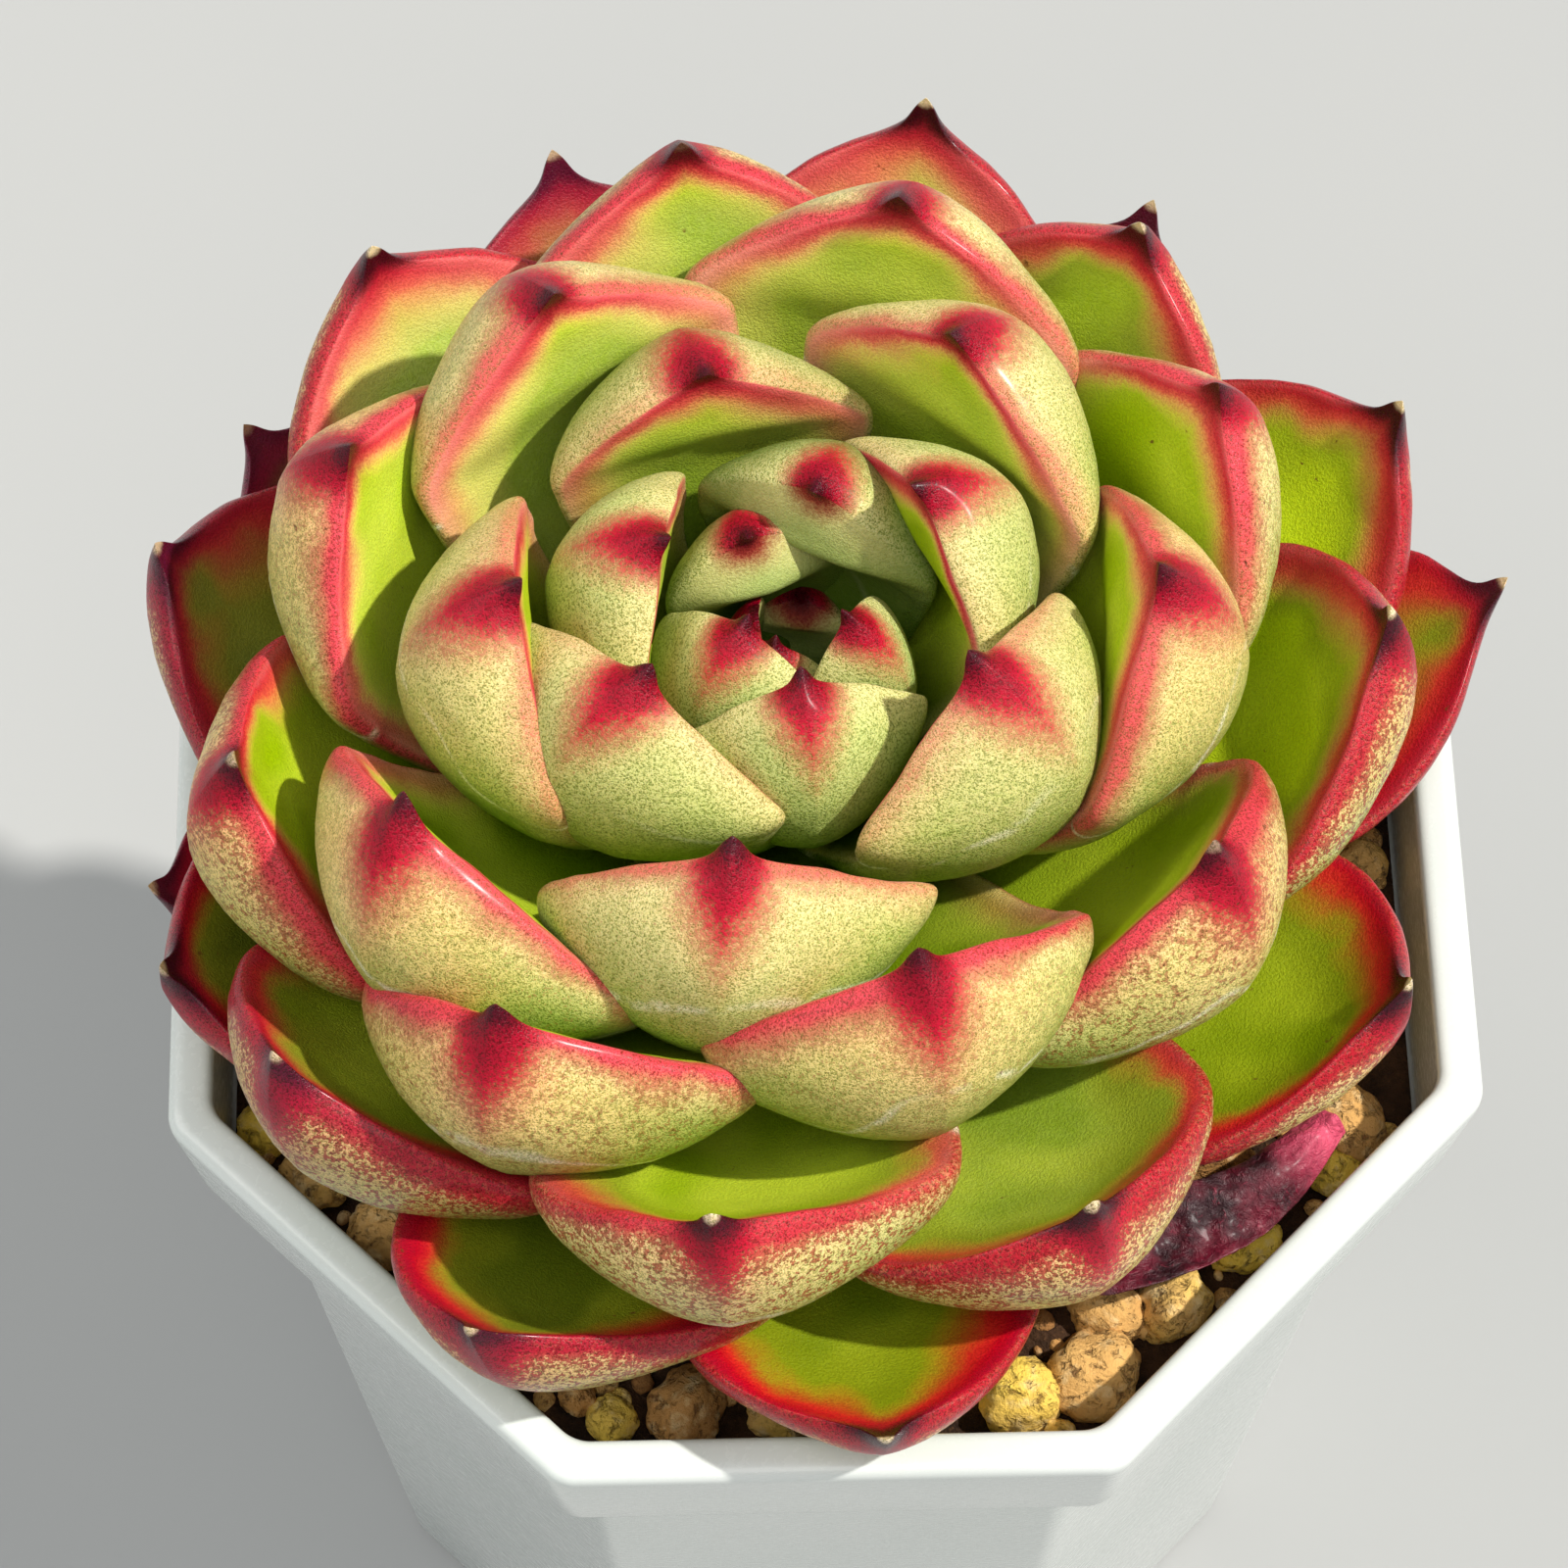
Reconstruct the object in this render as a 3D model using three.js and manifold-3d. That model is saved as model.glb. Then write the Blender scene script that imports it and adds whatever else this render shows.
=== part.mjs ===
import * as THREE from 'three';
import { mergeVertices } from 'three/addons/utils/BufferGeometryUtils.js';
import Module from 'manifold-3d';

const wasm = await Module();
wasm.setup();

// Driving dimensions of the octagonal pot, in millimetres. Widths are across the flats.
const potHeight = 87;
const rimWidth = 85;
const rimInnerWidth = 79;
const lipHeight = 10.4;
const lipBottomWidth = 82;
const lipInnerDepth = 9;
const ledgeDrop = 1.2;
const bodyTopWidth = 75.2;
const bodyBottomWidth = 62.5;
const wallThickness = 1.9;
const floorThickness = 2.4;
const edgeRound = 0.6;
const cornerRadius = 2.6;
const cornerSteps = 2;
const drainHoleRadius = 3;
const drainHoleCircle = 17;
const drainHoleCount = 4;
const drainHoleSides = 8;
const rimInnerTaper = 1;

// Gap kept between pieces that touch.
const seatGap = 0.3;

// Soil and the bed of small porous stones on it. Depths are below the rim.
const soilDepth = 10.9;
const beddingDepth = 8.4;
const stoneCount = 74;
const stoneRadius = [2.1, 3.2];
const stoneSpacing = 4.9;
const stoneFreeRadius = 27;
const stoneTries = 4000;
const stoneSeed = 20261;
const stoneLeastStretch = 0.82;
const stoneStretchRange = 0.36;
const stoneFlatness = 0.85;
const stoneWallShare = 2.6;
const stoneRise = 0.25;
const stoneSink = 1.6;

// The stones in plain sight round the front of the bed: place from the pot's axis, and radius.
const frontStones = [
  [16.6, -33.2, 3.2],
  [11.9, -34.5, 3],
  [22, -28.3, 3],
  [17.6, -28.6, 2.6],
  [26.8, -24, 2.7],
  [34.2, -15.6, 2.8],
  [33, -18.8, 2.1],
  [14.3, -37, 1.3],
  [-9.4, -34.8, 2.9],
  [-14.2, -35.4, 1.8],
  [-16.4, -33.4, 1.6],
  [-33.6, -18, 2.2],
  [-36.4, -14.4, 2.2],
];

// The rosette. Heights are above the rim and radii are from the rosette's own axis.
const rosetteAxis = new THREE.Vector2(-3, 4);
const firstLeafTurn = 311;
const ovalSwing = 7;
const turnPerLeaf = 137.85;
const youngestLeaf = 1;
const oldestLeaf = 48;
const missingLeaves = [45, 46, 47];
const leavesPerValue = 8;

// The bud leans a little away from the rosette's axis, and the lean fades leaf by leaf.
const budShift = new THREE.Vector2(1.8, 2.8);
const budShiftFade = 7;

// The stem. Heights are above the rim.
const stemTop = 11;
const stemMiddle = 3;
const stemBottom = -7;
const stemFoot = -22;
const stemTopRadius = 1.6;
const stemBottomRadius = 6.5;
const stemFootShare = 0.7;
const stemSides = 14;
const lowestLeafBase = -2.5;

// Margin that each leaf is grown by to cut its neighbours, and the finish of a cut.
const leafInflation = 0.38;
const simplifyTolerance = 0.1;

// The shrivelled old leaf on the stones: points along its middle, from its root.
const driedLeafPath = [
  [8.5, -22, 83.6],
  [15.5, -26.6, 83.6],
  [21.5, -25.6, 83.8],
  [27.5, -22.6, 84.2],
  [32.6, -17.6, 84.4],
];
const driedLeafSteps = 9;
const driedLeafHalfWidth = 2.9;
const driedLeafThickness = 0.9;
const driedLeafFold = 0.8;
const driedLeafFoldTurns = 2.6;
const driedLeafTwist = 7;
const driedLeafSection = [-1, -0.35, 0.35, 1, 0.35, -0.35];

// Each law holds one value for every eighth leaf, from the bud to the oldest leaf.
const law = {
  tipRadius: [2, 6.5, 20, 32.5, 41.5, 46, 47],
  tipHeight: [23, 32, 35, 30, 22, 12.5, 7],
  launchAngle: [86, 62, 36, 22, 14, 13, 14],
  tipAngle: [105, 128, 113, 96, 79, 62, 47],
  launchReach: [0.35, 0.6, 0.68, 0.62, 0.5, 0.42, 0.4],
  tipReach: [0.3, 0.36, 0.4, 0.4, 0.4, 0.38, 0.36],
  halfWidth: [2.2, 8, 12, 12.8, 13, 12.4, 11],
  thickness: [1.8, 5, 7, 7.9, 7.8, 6.8, 5.2],
  cup: [0.8, 3, 4, 3.6, 3, 2.2, 1.6],
  nose: [0, 2.5, 4, 3, 1.5, 0.5, 0],
};

// A leaf that follows the rule.
const onRule = { turn: 0, reach: 0, rise: 0, roll: 0, curl: 0, sway: 0, breadth: 1, nose: 0 };

// Where single leaves stray from the rule: turn, roll, curl and sway in degrees, reach and rise of
// the tip and nose in millimetres, and breadth as a factor. Sway turns the body and leaves the tip
// in place. The nose is how far the upper face swells behind the tip.
const strays = {
  2: { turn: 44, reach: 1, rise: -6, curl: 15, nose: 1.5 },
  4: { turn: 10, reach: 0.5, rise: 0.5, curl: 12, sway: -14, breadth: 1.3, nose: 3 },
  5: { turn: -20, breadth: 0.8 },
  6: { turn: 24, reach: -1 },
  7: { turn: 7, roll: -8, curl: 8, breadth: 1.12, nose: 2.5 },
  8: { turn: -5, reach: 1 },
  9: { turn: 14, reach: -1, breadth: 1.05 },
  10: { turn: 10, sway: -5 },
  11: { turn: -7, roll: 5, sway: -5, breadth: 1.1 },
  12: { turn: 17, reach: 1, rise: -1.5 },
  13: { turn: 6, reach: -1 },
  14: { reach: -1 },
  15: { turn: 9, sway: -4 },
  16: { turn: 3, roll: 8 },
  17: { reach: 1 },
  18: { curl: -10, breadth: 0.95 },
  19: { reach: 2, sway: 9 },
  20: { turn: 4, reach: 1, breadth: 1.04 },
  21: { turn: -5, reach: -1 },
  22: { turn: -4, reach: -2 },
  23: { curl: -8, breadth: 0.95 },
  24: { roll: 6, sway: 4 },
  26: { turn: -3, reach: -4, curl: 4, sway: -4 },
  27: { reach: -2 },
  29: { turn: -3, reach: 1, roll: 6, sway: 3 },
  30: { turn: -5, reach: -1 },
  31: { turn: -2, reach: -2, curl: 4, sway: -5 },
  32: { reach: -1, curl: 6, sway: 6 },
  33: { reach: 1.5 },
  34: { turn: -5, reach: -2, curl: 14 },
  35: { turn: -8, reach: -3 },
  36: { turn: -6, reach: 2 },
  37: { reach: 1, rise: -1, curl: 5, sway: 8 },
  38: { curl: -4 },
  39: { turn: -5, reach: -2, rise: -1, curl: 8, sway: -6 },
  40: { reach: -4 },
  41: { reach: 1, rise: 1.5, curl: -3 },
  42: { turn: 2, reach: 2 },
  43: { reach: -5, rise: 2 },
  44: { turn: 1, reach: 3, curl: -6, sway: -4 },
  48: { turn: 10, reach: -6 },
};

// A leaf's outline and section.
const widestAt = 0.6;
const baseWidthShare = 0.5;
const outlinePower = 1.9;
const hornPlace = 0.9;
const hornSpread = 0.12;
const hornWaist = 0.5;
const rootThicknessShare = 0.62;
const thicknessPower = 4.5;
const rollRange = 8;
const bendPower = 3;
const noseStart = 0.3;
const noseEnd = 0.8;
const ringStations = [0, 0.18, 0.38, 0.57, 0.73, 0.85, 0.925, 0.968];
const topSteps = [-1, -0.45, 0.45, 1];

// Handles of the back's half section, from margin to keel, as shares of half width and thickness.
const backCurve = new THREE.CubicBezierCurve(
  new THREE.Vector2(1, 0),
  new THREE.Vector2(1.12, 0.42),
  new THREE.Vector2(0.55, 0.9),
  new THREE.Vector2(0, 1),
);
const backSteps = [0.3, 0.64, 1, -0.64, -0.3];

function radians(degrees) {
  return THREE.MathUtils.degToRad(degrees);
}

// Smooth value of a law at a leaf's place in the spiral.
function lawAt(values, leaf) {
  const place = THREE.MathUtils.clamp(leaf / leavesPerValue, 0, values.length - 1);
  const start = Math.min(Math.floor(place), values.length - 2);
  const t = place - start;
  const a = values[Math.max(start - 1, 0)];
  const b = values[start];
  const c = values[start + 1];
  const d = values[Math.min(start + 2, values.length - 1)];
  return b + 0.5 * t * (c - a + t * (2 * a - 5 * b + 4 * c - d + t * (3 * (b - c) + d - a)));
}

function seededRandom(seed) {
  let state = seed;
  return () => {
    state = (Math.imul(state, 1664525) + 1013904223) >>> 0;
    return state / 4294967296;
  };
}

// All that shapes one leaf, worked out from its place in the spiral.
function leafForm(leaf) {
  const random = seededRandom(leaf * 7919 + 11);
  const age = leaf / oldestLeaf;
  const axis = rosetteAxis.clone().addScaledVector(budShift, Math.exp(-leaf / budShiftFade));
  const stray = { ...onRule, ...strays[leaf] };
  const spiralTurn = radians(firstLeafTurn - turnPerLeaf * leaf);
  const tipTurn = spiralTurn + radians(ovalSwing * Math.cos(2 * spiralTurn) + stray.turn);
  const baseHeight = THREE.MathUtils.lerp(stemTop, lowestLeafBase, age);
  const baseRadius = THREE.MathUtils.lerp(stemTopRadius, stemBottomRadius, age) + seatGap;
  const tip = new THREE.Vector2(
    lawAt(law.tipRadius, leaf) + stray.reach,
    lawAt(law.tipHeight, leaf) + stray.rise,
  );
  const base = new THREE.Vector2(baseRadius, baseHeight);
  const chord = tip.distanceTo(base);
  const launch = radians(lawAt(law.launchAngle, leaf));
  const arrive = radians(lawAt(law.tipAngle, leaf) + stray.curl);
  const launchHandle = new THREE.Vector2(Math.cos(launch), Math.sin(launch));
  const tipHandle = new THREE.Vector2(Math.cos(arrive), Math.sin(arrive));
  const midline = new THREE.CubicBezierCurve(
    base,
    base.clone().addScaledVector(launchHandle, chord * lawAt(law.launchReach, leaf)),
    tip.clone().addScaledVector(tipHandle, -chord * lawAt(law.tipReach, leaf)),
    tip,
  );
  return {
    turn: tipTurn + radians(stray.sway),
    axis,
    midline,
    sideBend: -tip.x * Math.sin(radians(stray.sway)),
    halfWidth: lawAt(law.halfWidth, leaf) * stray.breadth,
    thickness: lawAt(law.thickness, leaf),
    cup: lawAt(law.cup, leaf),
    nose: lawAt(law.nose, leaf) + stray.nose,
    roll: radians((random() - 0.5) * rollRange + stray.roll),
  };
}

// Half width along the leaf, as a share of the greatest: a boat that ends in a small horn.
function widthShare(u) {
  if (u < widestAt) {
    return baseWidthShare + (1 - baseWidthShare) * Math.sin((Math.PI / 2) * (u / widestAt));
  }
  const t = (u - widestAt) / (1 - widestAt);
  const waist = 1 - hornWaist * Math.exp(-(((t - hornPlace) / hornSpread) ** 2));
  return (1 - Math.pow(t, outlinePower)) * waist;
}

// Thickness along the leaf, as a share of the greatest.
function thicknessShare(u) {
  const swell = Math.sin((Math.PI / 2) * Math.min(u / 0.5, 1));
  const body = rootThicknessShare + (1 - rootThicknessShare) * swell;
  return body * (1 - Math.pow(u, thicknessPower));
}

// Point on a leaf: u runs from root to tip, and across gives sideways and depth shares.
function leafPoint(form, u, sideShare, depthShare) {
  const point = form.midline.getPoint(u);
  const along = form.midline.getTangent(u);
  const inward = new THREE.Vector2(-along.y, along.x);
  const side = sideShare * form.halfWidth * widthShare(u);
  const v = Math.min(Math.abs(sideShare), 1);
  let lift = form.cup * v * v * widthShare(u) * Math.min(1, u * 2);
  lift += side * Math.tan(form.roll);
  lift -= form.thickness * thicknessShare(u) * depthShare;
  if (depthShare === 0) {
    lift += form.nose * (1 - v * v) * widthShare(u) * THREE.MathUtils.smoothstep(u, noseStart, noseEnd);
  }
  const across = side + form.sideBend * Math.pow(u, bendPower);
  const r = point.x + inward.x * lift;
  const z = point.y + inward.y * lift;
  const c = Math.cos(form.turn);
  const s = Math.sin(form.turn);
  return new THREE.Vector3(
    form.axis.x + r * c - across * s,
    form.axis.y + r * s + across * c,
    potHeight + z,
  );
}

function ringOfLeaf(form, u) {
  const top = topSteps.map((v) => leafPoint(form, u, v, 0));
  const back = backSteps.map((step) => {
    const section = backCurve.getPoint(Math.abs(step));
    return leafPoint(form, u, Math.sign(step) * section.x, section.y);
  });
  return [...top, ...back];
}

// Closes a stack of rings with a fan at each end.
function loftGeometry(rings, startPoint, endPoint) {
  const count = rings[0].length;
  const positions = [];
  const indices = [];
  for (const ring of rings) {
    for (const p of ring) {
      positions.push(p.x, p.y, p.z);
    }
  }
  for (let k = 0; k + 1 < rings.length; k += 1) {
    for (let i = 0; i < count; i += 1) {
      const j = (i + 1) % count;
      const a = k * count + i;
      const b = k * count + j;
      const c = (k + 1) * count + j;
      const d = (k + 1) * count + i;
      indices.push(a, c, b, a, d, c);
    }
  }
  const start = positions.length / 3;
  positions.push(startPoint.x, startPoint.y, startPoint.z);
  positions.push(endPoint.x, endPoint.y, endPoint.z);
  const last = (rings.length - 1) * count;
  for (let i = 0; i < count; i += 1) {
    const j = (i + 1) % count;
    indices.push(start, i, j);
    indices.push(start + 1, last + j, last + i);
  }
  const geometry = new THREE.BufferGeometry();
  geometry.setAttribute('position', new THREE.Float32BufferAttribute(positions, 3));
  geometry.setIndex(indices);
  return geometry;
}

// A stack of level rings about the pot's axis, closed at two heights.
function stackGeometry(rings, firstHeight, lastHeight) {
  return loftGeometry(rings, new THREE.Vector3(0, 0, firstHeight), new THREE.Vector3(0, 0, lastHeight));
}

function centreOf(points) {
  const centre = new THREE.Vector3();
  points.forEach((p) => centre.add(p));
  return centre.divideScalar(points.length);
}

function leafGeometry(form) {
  const rings = ringStations.map((u) => ringOfLeaf(form, u));
  return loftGeometry(rings, centreOf(rings[0]), leafPoint(form, 1, 0, 0));
}

// A closed geometry as a solid for joining and cutting.
function solidOf(geometry) {
  const bare = new THREE.BufferGeometry();
  bare.setAttribute('position', geometry.getAttribute('position').clone());
  if (geometry.index) {
    bare.setIndex(geometry.index.clone());
  }
  const merged = mergeVertices(bare, 1e-4);
  const vertProperties = new Float32Array(merged.getAttribute('position').array);
  const triVerts = new Uint32Array(merged.index.array);
  return new wasm.Manifold(new wasm.Mesh({ numProp: 3, vertProperties, triVerts }));
}

function geometryOf(solid) {
  const mesh = solid.getMesh();
  const geometry = new THREE.BufferGeometry();
  geometry.setAttribute('position', new THREE.Float32BufferAttribute(mesh.vertProperties, 3));
  geometry.setIndex(Array.from(mesh.triVerts));
  geometry.computeVertexNormals();
  return geometry;
}

// The largest piece of a cut solid: loose scraps are dropped.
function largestPiece(solid) {
  const pieces = solid.decompose();
  return pieces.reduce((best, piece) => (piece.volume() > best.volume() ? piece : best));
}

// The same form grown by a small even margin, which leaves a gap when it cuts a neighbour.
function inflated(geometry, margin) {
  const grown = geometry.clone();
  grown.computeVertexNormals();
  const position = grown.getAttribute('position');
  const normal = grown.getAttribute('normal');
  for (let i = 0; i < position.count; i += 1) {
    position.setXYZ(
      i,
      position.getX(i) + normal.getX(i) * margin,
      position.getY(i) + normal.getY(i) * margin,
      position.getZ(i) + normal.getZ(i) * margin,
    );
  }
  return grown;
}

// The short woody stem that carries the leaves, standing in the soil.
function stemGeometry(margin) {
  const middleRadius = (stemTopRadius + stemBottomRadius) / 2;
  const profile = [
    new THREE.Vector2(0, stemFoot - margin),
    new THREE.Vector2(stemBottomRadius * stemFootShare + margin, stemFoot - margin),
    new THREE.Vector2(stemBottomRadius + margin, stemBottom),
    new THREE.Vector2(middleRadius + margin, stemMiddle),
    new THREE.Vector2(stemTopRadius + margin, stemTop + margin),
    new THREE.Vector2(0, stemTop + 1 + margin),
  ];
  const geometry = new THREE.LatheGeometry(profile, stemSides);
  geometry.rotateX(Math.PI / 2);
  geometry.translate(rosetteAxis.x, rosetteAxis.y, potHeight);
  return geometry;
}

// Leaves are made from the bud outward, and each is cut clear of those inside it.
function makeLeaves() {
  const leaves = [];
  const cutters = [{ solid: solidOf(stemGeometry(seatGap)), box: null }];
  for (let leaf = youngestLeaf; leaf <= oldestLeaf; leaf += 1) {
    if (missingLeaves.includes(leaf)) {
      continue;
    }
    const whole = leafGeometry(leafForm(leaf));
    whole.computeBoundingBox();
    const box = whole.boundingBox;
    let solid = solidOf(whole);
    for (const cutter of cutters) {
      if (cutter.box === null || cutter.box.intersectsBox(box)) {
        solid = solid.subtract(cutter.solid);
      }
    }
    solid = largestPiece(solid.simplify(simplifyTolerance));
    const grown = inflated(whole, leafInflation);
    grown.computeBoundingBox();
    const cutter = { solid: solidOf(grown), box: grown.boundingBox };
    leaves.push({ leaf, solid, cutter });
    cutters.push(cutter);
  }
  return leaves;
}

// One level of the pot: an octagon with rounded corners.
function octagonRing(width, height, radius = cornerRadius) {
  const ring = [];
  const reach = (width / 2 - radius) / Math.cos(Math.PI / 8);
  for (let corner = 0; corner < 8; corner += 1) {
    const facing = Math.PI / 8 + (corner * Math.PI) / 4;
    for (let step = 0; step <= cornerSteps; step += 1) {
      const angle = facing + (Math.PI / 4) * (step / cornerSteps - 0.5);
      ring.push(new THREE.Vector3(
        reach * Math.cos(facing) + radius * Math.cos(angle),
        reach * Math.sin(facing) + radius * Math.sin(angle),
        height,
      ));
    }
  }
  return ring.reverse();
}

// Width of the body's outer faces at a height.
function bodyWidthAt(height) {
  return THREE.MathUtils.lerp(bodyBottomWidth, bodyTopWidth, height / (potHeight - lipHeight));
}

// Width between the body's inner faces at a height.
function innerWidthAt(height) {
  return bodyWidthAt(height) - 2 * wallThickness;
}

// The ledge inside the pot, where the lip meets the narrower body.
const ledgeTop = potHeight - lipInnerDepth;
const ledgeBottom = ledgeTop - ledgeDrop;
const ledgeWidth = rimInnerWidth - rimInnerTaper;

// What the filling's octagons are narrower by, so that they clear the wall.
const fillingInset = (2 * seatGap) / Math.cos(Math.PI / 8);

function drainHole(angle) {
  const depth = 3 * floorThickness;
  const hole = new THREE.CylinderGeometry(drainHoleRadius, drainHoleRadius, depth, drainHoleSides);
  hole.rotateX(Math.PI / 2);
  hole.translate(drainHoleCircle * Math.cos(angle), drainHoleCircle * Math.sin(angle), 0);
  return solidOf(hole);
}

// The pot from its underside, up its outside, over the rim and down the inside to its floor.
function makePot() {
  const lipBottom = potHeight - lipHeight;
  const rings = [
    octagonRing(bodyBottomWidth - 2 * edgeRound, 0),
    octagonRing(bodyBottomWidth, edgeRound),
    octagonRing(bodyWidthAt(lipBottom), lipBottom),
    octagonRing(lipBottomWidth - edgeRound, lipBottom),
    octagonRing(lipBottomWidth, lipBottom + edgeRound),
    octagonRing(rimWidth, potHeight - edgeRound),
    octagonRing(rimWidth - 2 * edgeRound, potHeight),
    octagonRing(rimInnerWidth + edgeRound, potHeight),
    octagonRing(rimInnerWidth, potHeight - edgeRound),
    octagonRing(ledgeWidth, ledgeTop),
    octagonRing(innerWidthAt(ledgeBottom), ledgeBottom),
    octagonRing(innerWidthAt(floorThickness), floorThickness),
  ];
  let pot = solidOf(stackGeometry(rings, 0, floorThickness));
  for (let i = 0; i < drainHoleCount; i += 1) {
    pot = pot.subtract(drainHole(Math.PI / 4 + (i * 2 * Math.PI) / drainHoleCount));
  }
  return pot;
}

function makeSoil() {
  const bottom = floorThickness + seatGap;
  const top = potHeight - soilDepth;
  const rings = [
    octagonRing(innerWidthAt(bottom) - fillingInset, bottom),
    octagonRing(innerWidthAt(top) - fillingInset, top),
  ];
  return solidOf(stackGeometry(rings, bottom, top)).subtract(solidOf(stemGeometry(seatGap)));
}

// One porous stone: a rough ball with its vertices pushed in and out, flat where it is sunk.
function stoneGeometry(radius, lowest, random) {
  const stone = new THREE.IcosahedronGeometry(radius, 0);
  stone.deleteAttribute('normal');
  stone.deleteAttribute('uv');
  const merged = mergeVertices(stone, 1e-3);
  merged.rotateX(random() * Math.PI);
  merged.rotateZ(random() * Math.PI);
  const position = merged.getAttribute('position');
  for (let i = 0; i < position.count; i += 1) {
    const stretch = stoneLeastStretch + stoneStretchRange * random();
    position.setXYZ(
      i,
      position.getX(i) * stretch,
      position.getY(i) * stretch,
      Math.max(position.getZ(i) * stretch * stoneFlatness, lowest),
    );
  }
  return merged;
}

// True where a point lies inside the octagon of a width.
function insideOctagon(x, y, width) {
  for (let side = 0; side < 8; side += 1) {
    const angle = (side * Math.PI) / 4;
    if (x * Math.cos(angle) + y * Math.sin(angle) > width / 2) {
      return false;
    }
  }
  return true;
}

// A bed that rests over the ledge, with stones sunk in it wherever no leaf is in the way.
function makeGravel(leaves) {
  const bottom = potHeight - soilDepth + seatGap;
  const top = potHeight - beddingDepth;
  const rings = [
    octagonRing(innerWidthAt(bottom) - fillingInset, bottom),
    octagonRing(innerWidthAt(ledgeBottom) - fillingInset, ledgeBottom),
    octagonRing(ledgeWidth - fillingInset, ledgeTop + seatGap),
    octagonRing(ledgeWidth - fillingInset, top),
  ];
  let bed = solidOf(stackGeometry(rings, bottom, top)).subtract(solidOf(stemGeometry(seatGap)));
  const random = seededRandom(stoneSeed);
  const placed = [];
  const sinkStone = (x, y, radius) => {
    const z = top + stoneRise * radius;
    const stone = stoneGeometry(radius, bottom + stoneSink - z, random);
    stone.translate(x, y, z);
    const solid = solidOf(stone);
    if (leaves.every(({ cutter }) => solid.intersect(cutter.solid).isEmpty())) {
      bed = bed.add(solid);
      placed.push({ x, y });
    }
  };
  frontStones.forEach(([x, y, radius]) => sinkStone(x, y, radius));
  for (let i = 0; i < stoneTries && placed.length < stoneCount; i += 1) {
    const radius = THREE.MathUtils.lerp(stoneRadius[0], stoneRadius[1], random());
    const x = (random() - 0.5) * rimInnerWidth;
    const y = (random() - 0.5) * rimInnerWidth;
    const fromStem = Math.hypot(x - rosetteAxis.x, y - rosetteAxis.y);
    const crowded = placed.some((p) => Math.hypot(x - p.x, y - p.y) < stoneSpacing);
    const inPot = insideOctagon(x, y, rimInnerWidth - stoneWallShare * radius);
    if (!crowded && fromStem >= stoneFreeRadius && inPot) {
      sinkStone(x, y, radius);
    }
  }
  return bed.simplify(simplifyTolerance / 2);
}

// The shrivelled old leaf: a thin crumpled blade lying on the stones.
function makeDriedLeaf() {
  const path = new THREE.CatmullRomCurve3(driedLeafPath.map((p) => new THREE.Vector3(...p)));
  const rings = [];
  for (let k = 0; k <= driedLeafSteps; k += 1) {
    const t = k / driedLeafSteps;
    const centre = path.getPoint(t);
    const along = path.getTangent(t);
    const side = new THREE.Vector3(-along.y, along.x, 0).normalize();
    const up = new THREE.Vector3().crossVectors(along, side).normalize();
    const bulge = Math.sin(Math.PI * Math.min(t * 0.9 + 0.12, 1));
    const half = driedLeafHalfWidth * THREE.MathUtils.lerp(0.45, 1, bulge);
    const ring = driedLeafSection.map((v, i) => {
      const wave = Math.cos(v * driedLeafFoldTurns + t * driedLeafTwist);
      const fold = driedLeafFold * wave * THREE.MathUtils.lerp(0.4, 1, Math.abs(v));
      const atEdge = Math.abs(v) === 1;
      const underside = i > driedLeafSection.length / 2;
      const drop = driedLeafThickness * ((atEdge ? 0.5 : 0) + (underside ? 1 : 0));
      return centre.clone().addScaledVector(side, v * half).addScaledVector(up, fold - drop);
    });
    rings.push(ring);
  }
  return loftGeometry(rings, centreOf(rings[0]), centreOf(rings[driedLeafSteps]));
}

function addPiece(name, geometry, color, roughness) {
  const material = new THREE.MeshStandardMaterial({ color, roughness, metalness: 0 });
  const mesh = new THREE.Mesh(geometry, material);
  mesh.name = name;
  group.add(mesh);
}

const group = new THREE.Group();
const leaves = makeLeaves();
addPiece('pot', geometryOf(makePot()), 0xf1f3f4, 0.3);
addPiece('soil', geometryOf(makeSoil()), 0x2e2119, 0.95);
addPiece('gravel', geometryOf(makeGravel(leaves)), 0xb98d55, 0.9);
addPiece('stem', stemGeometry(0), 0x7d6a45, 0.8);
for (const { leaf, solid } of leaves) {
  const age = leaf / oldestLeaf;
  const color = new THREE.Color(0x9fb24c).lerp(new THREE.Color(0xb5633f), age * age * 0.8);
  addPiece(`leaf_${String(leaf).padStart(2, '0')}`, geometryOf(solid), color, 0.42);
}
addPiece('dried_leaf', makeDriedLeaf(), 0x5e1630, 0.7);

export default group;
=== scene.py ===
import math
import random

import bmesh
import bpy
import numpy as np
from mathutils import Matrix, Vector, noise
from mathutils.bvhtree import BVHTree


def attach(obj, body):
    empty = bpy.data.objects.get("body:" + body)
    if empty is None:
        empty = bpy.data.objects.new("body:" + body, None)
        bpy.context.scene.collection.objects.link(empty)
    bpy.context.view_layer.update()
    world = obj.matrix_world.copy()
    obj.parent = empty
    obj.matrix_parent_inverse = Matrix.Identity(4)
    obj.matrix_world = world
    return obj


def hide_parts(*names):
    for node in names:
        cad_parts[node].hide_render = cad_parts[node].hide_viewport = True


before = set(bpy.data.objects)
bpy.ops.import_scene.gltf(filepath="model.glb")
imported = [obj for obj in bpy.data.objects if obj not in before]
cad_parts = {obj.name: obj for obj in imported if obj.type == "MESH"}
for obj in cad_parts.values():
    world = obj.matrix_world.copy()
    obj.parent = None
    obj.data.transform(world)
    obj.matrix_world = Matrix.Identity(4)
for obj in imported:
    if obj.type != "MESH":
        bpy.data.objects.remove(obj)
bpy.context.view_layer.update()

MM = 0.001

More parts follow.
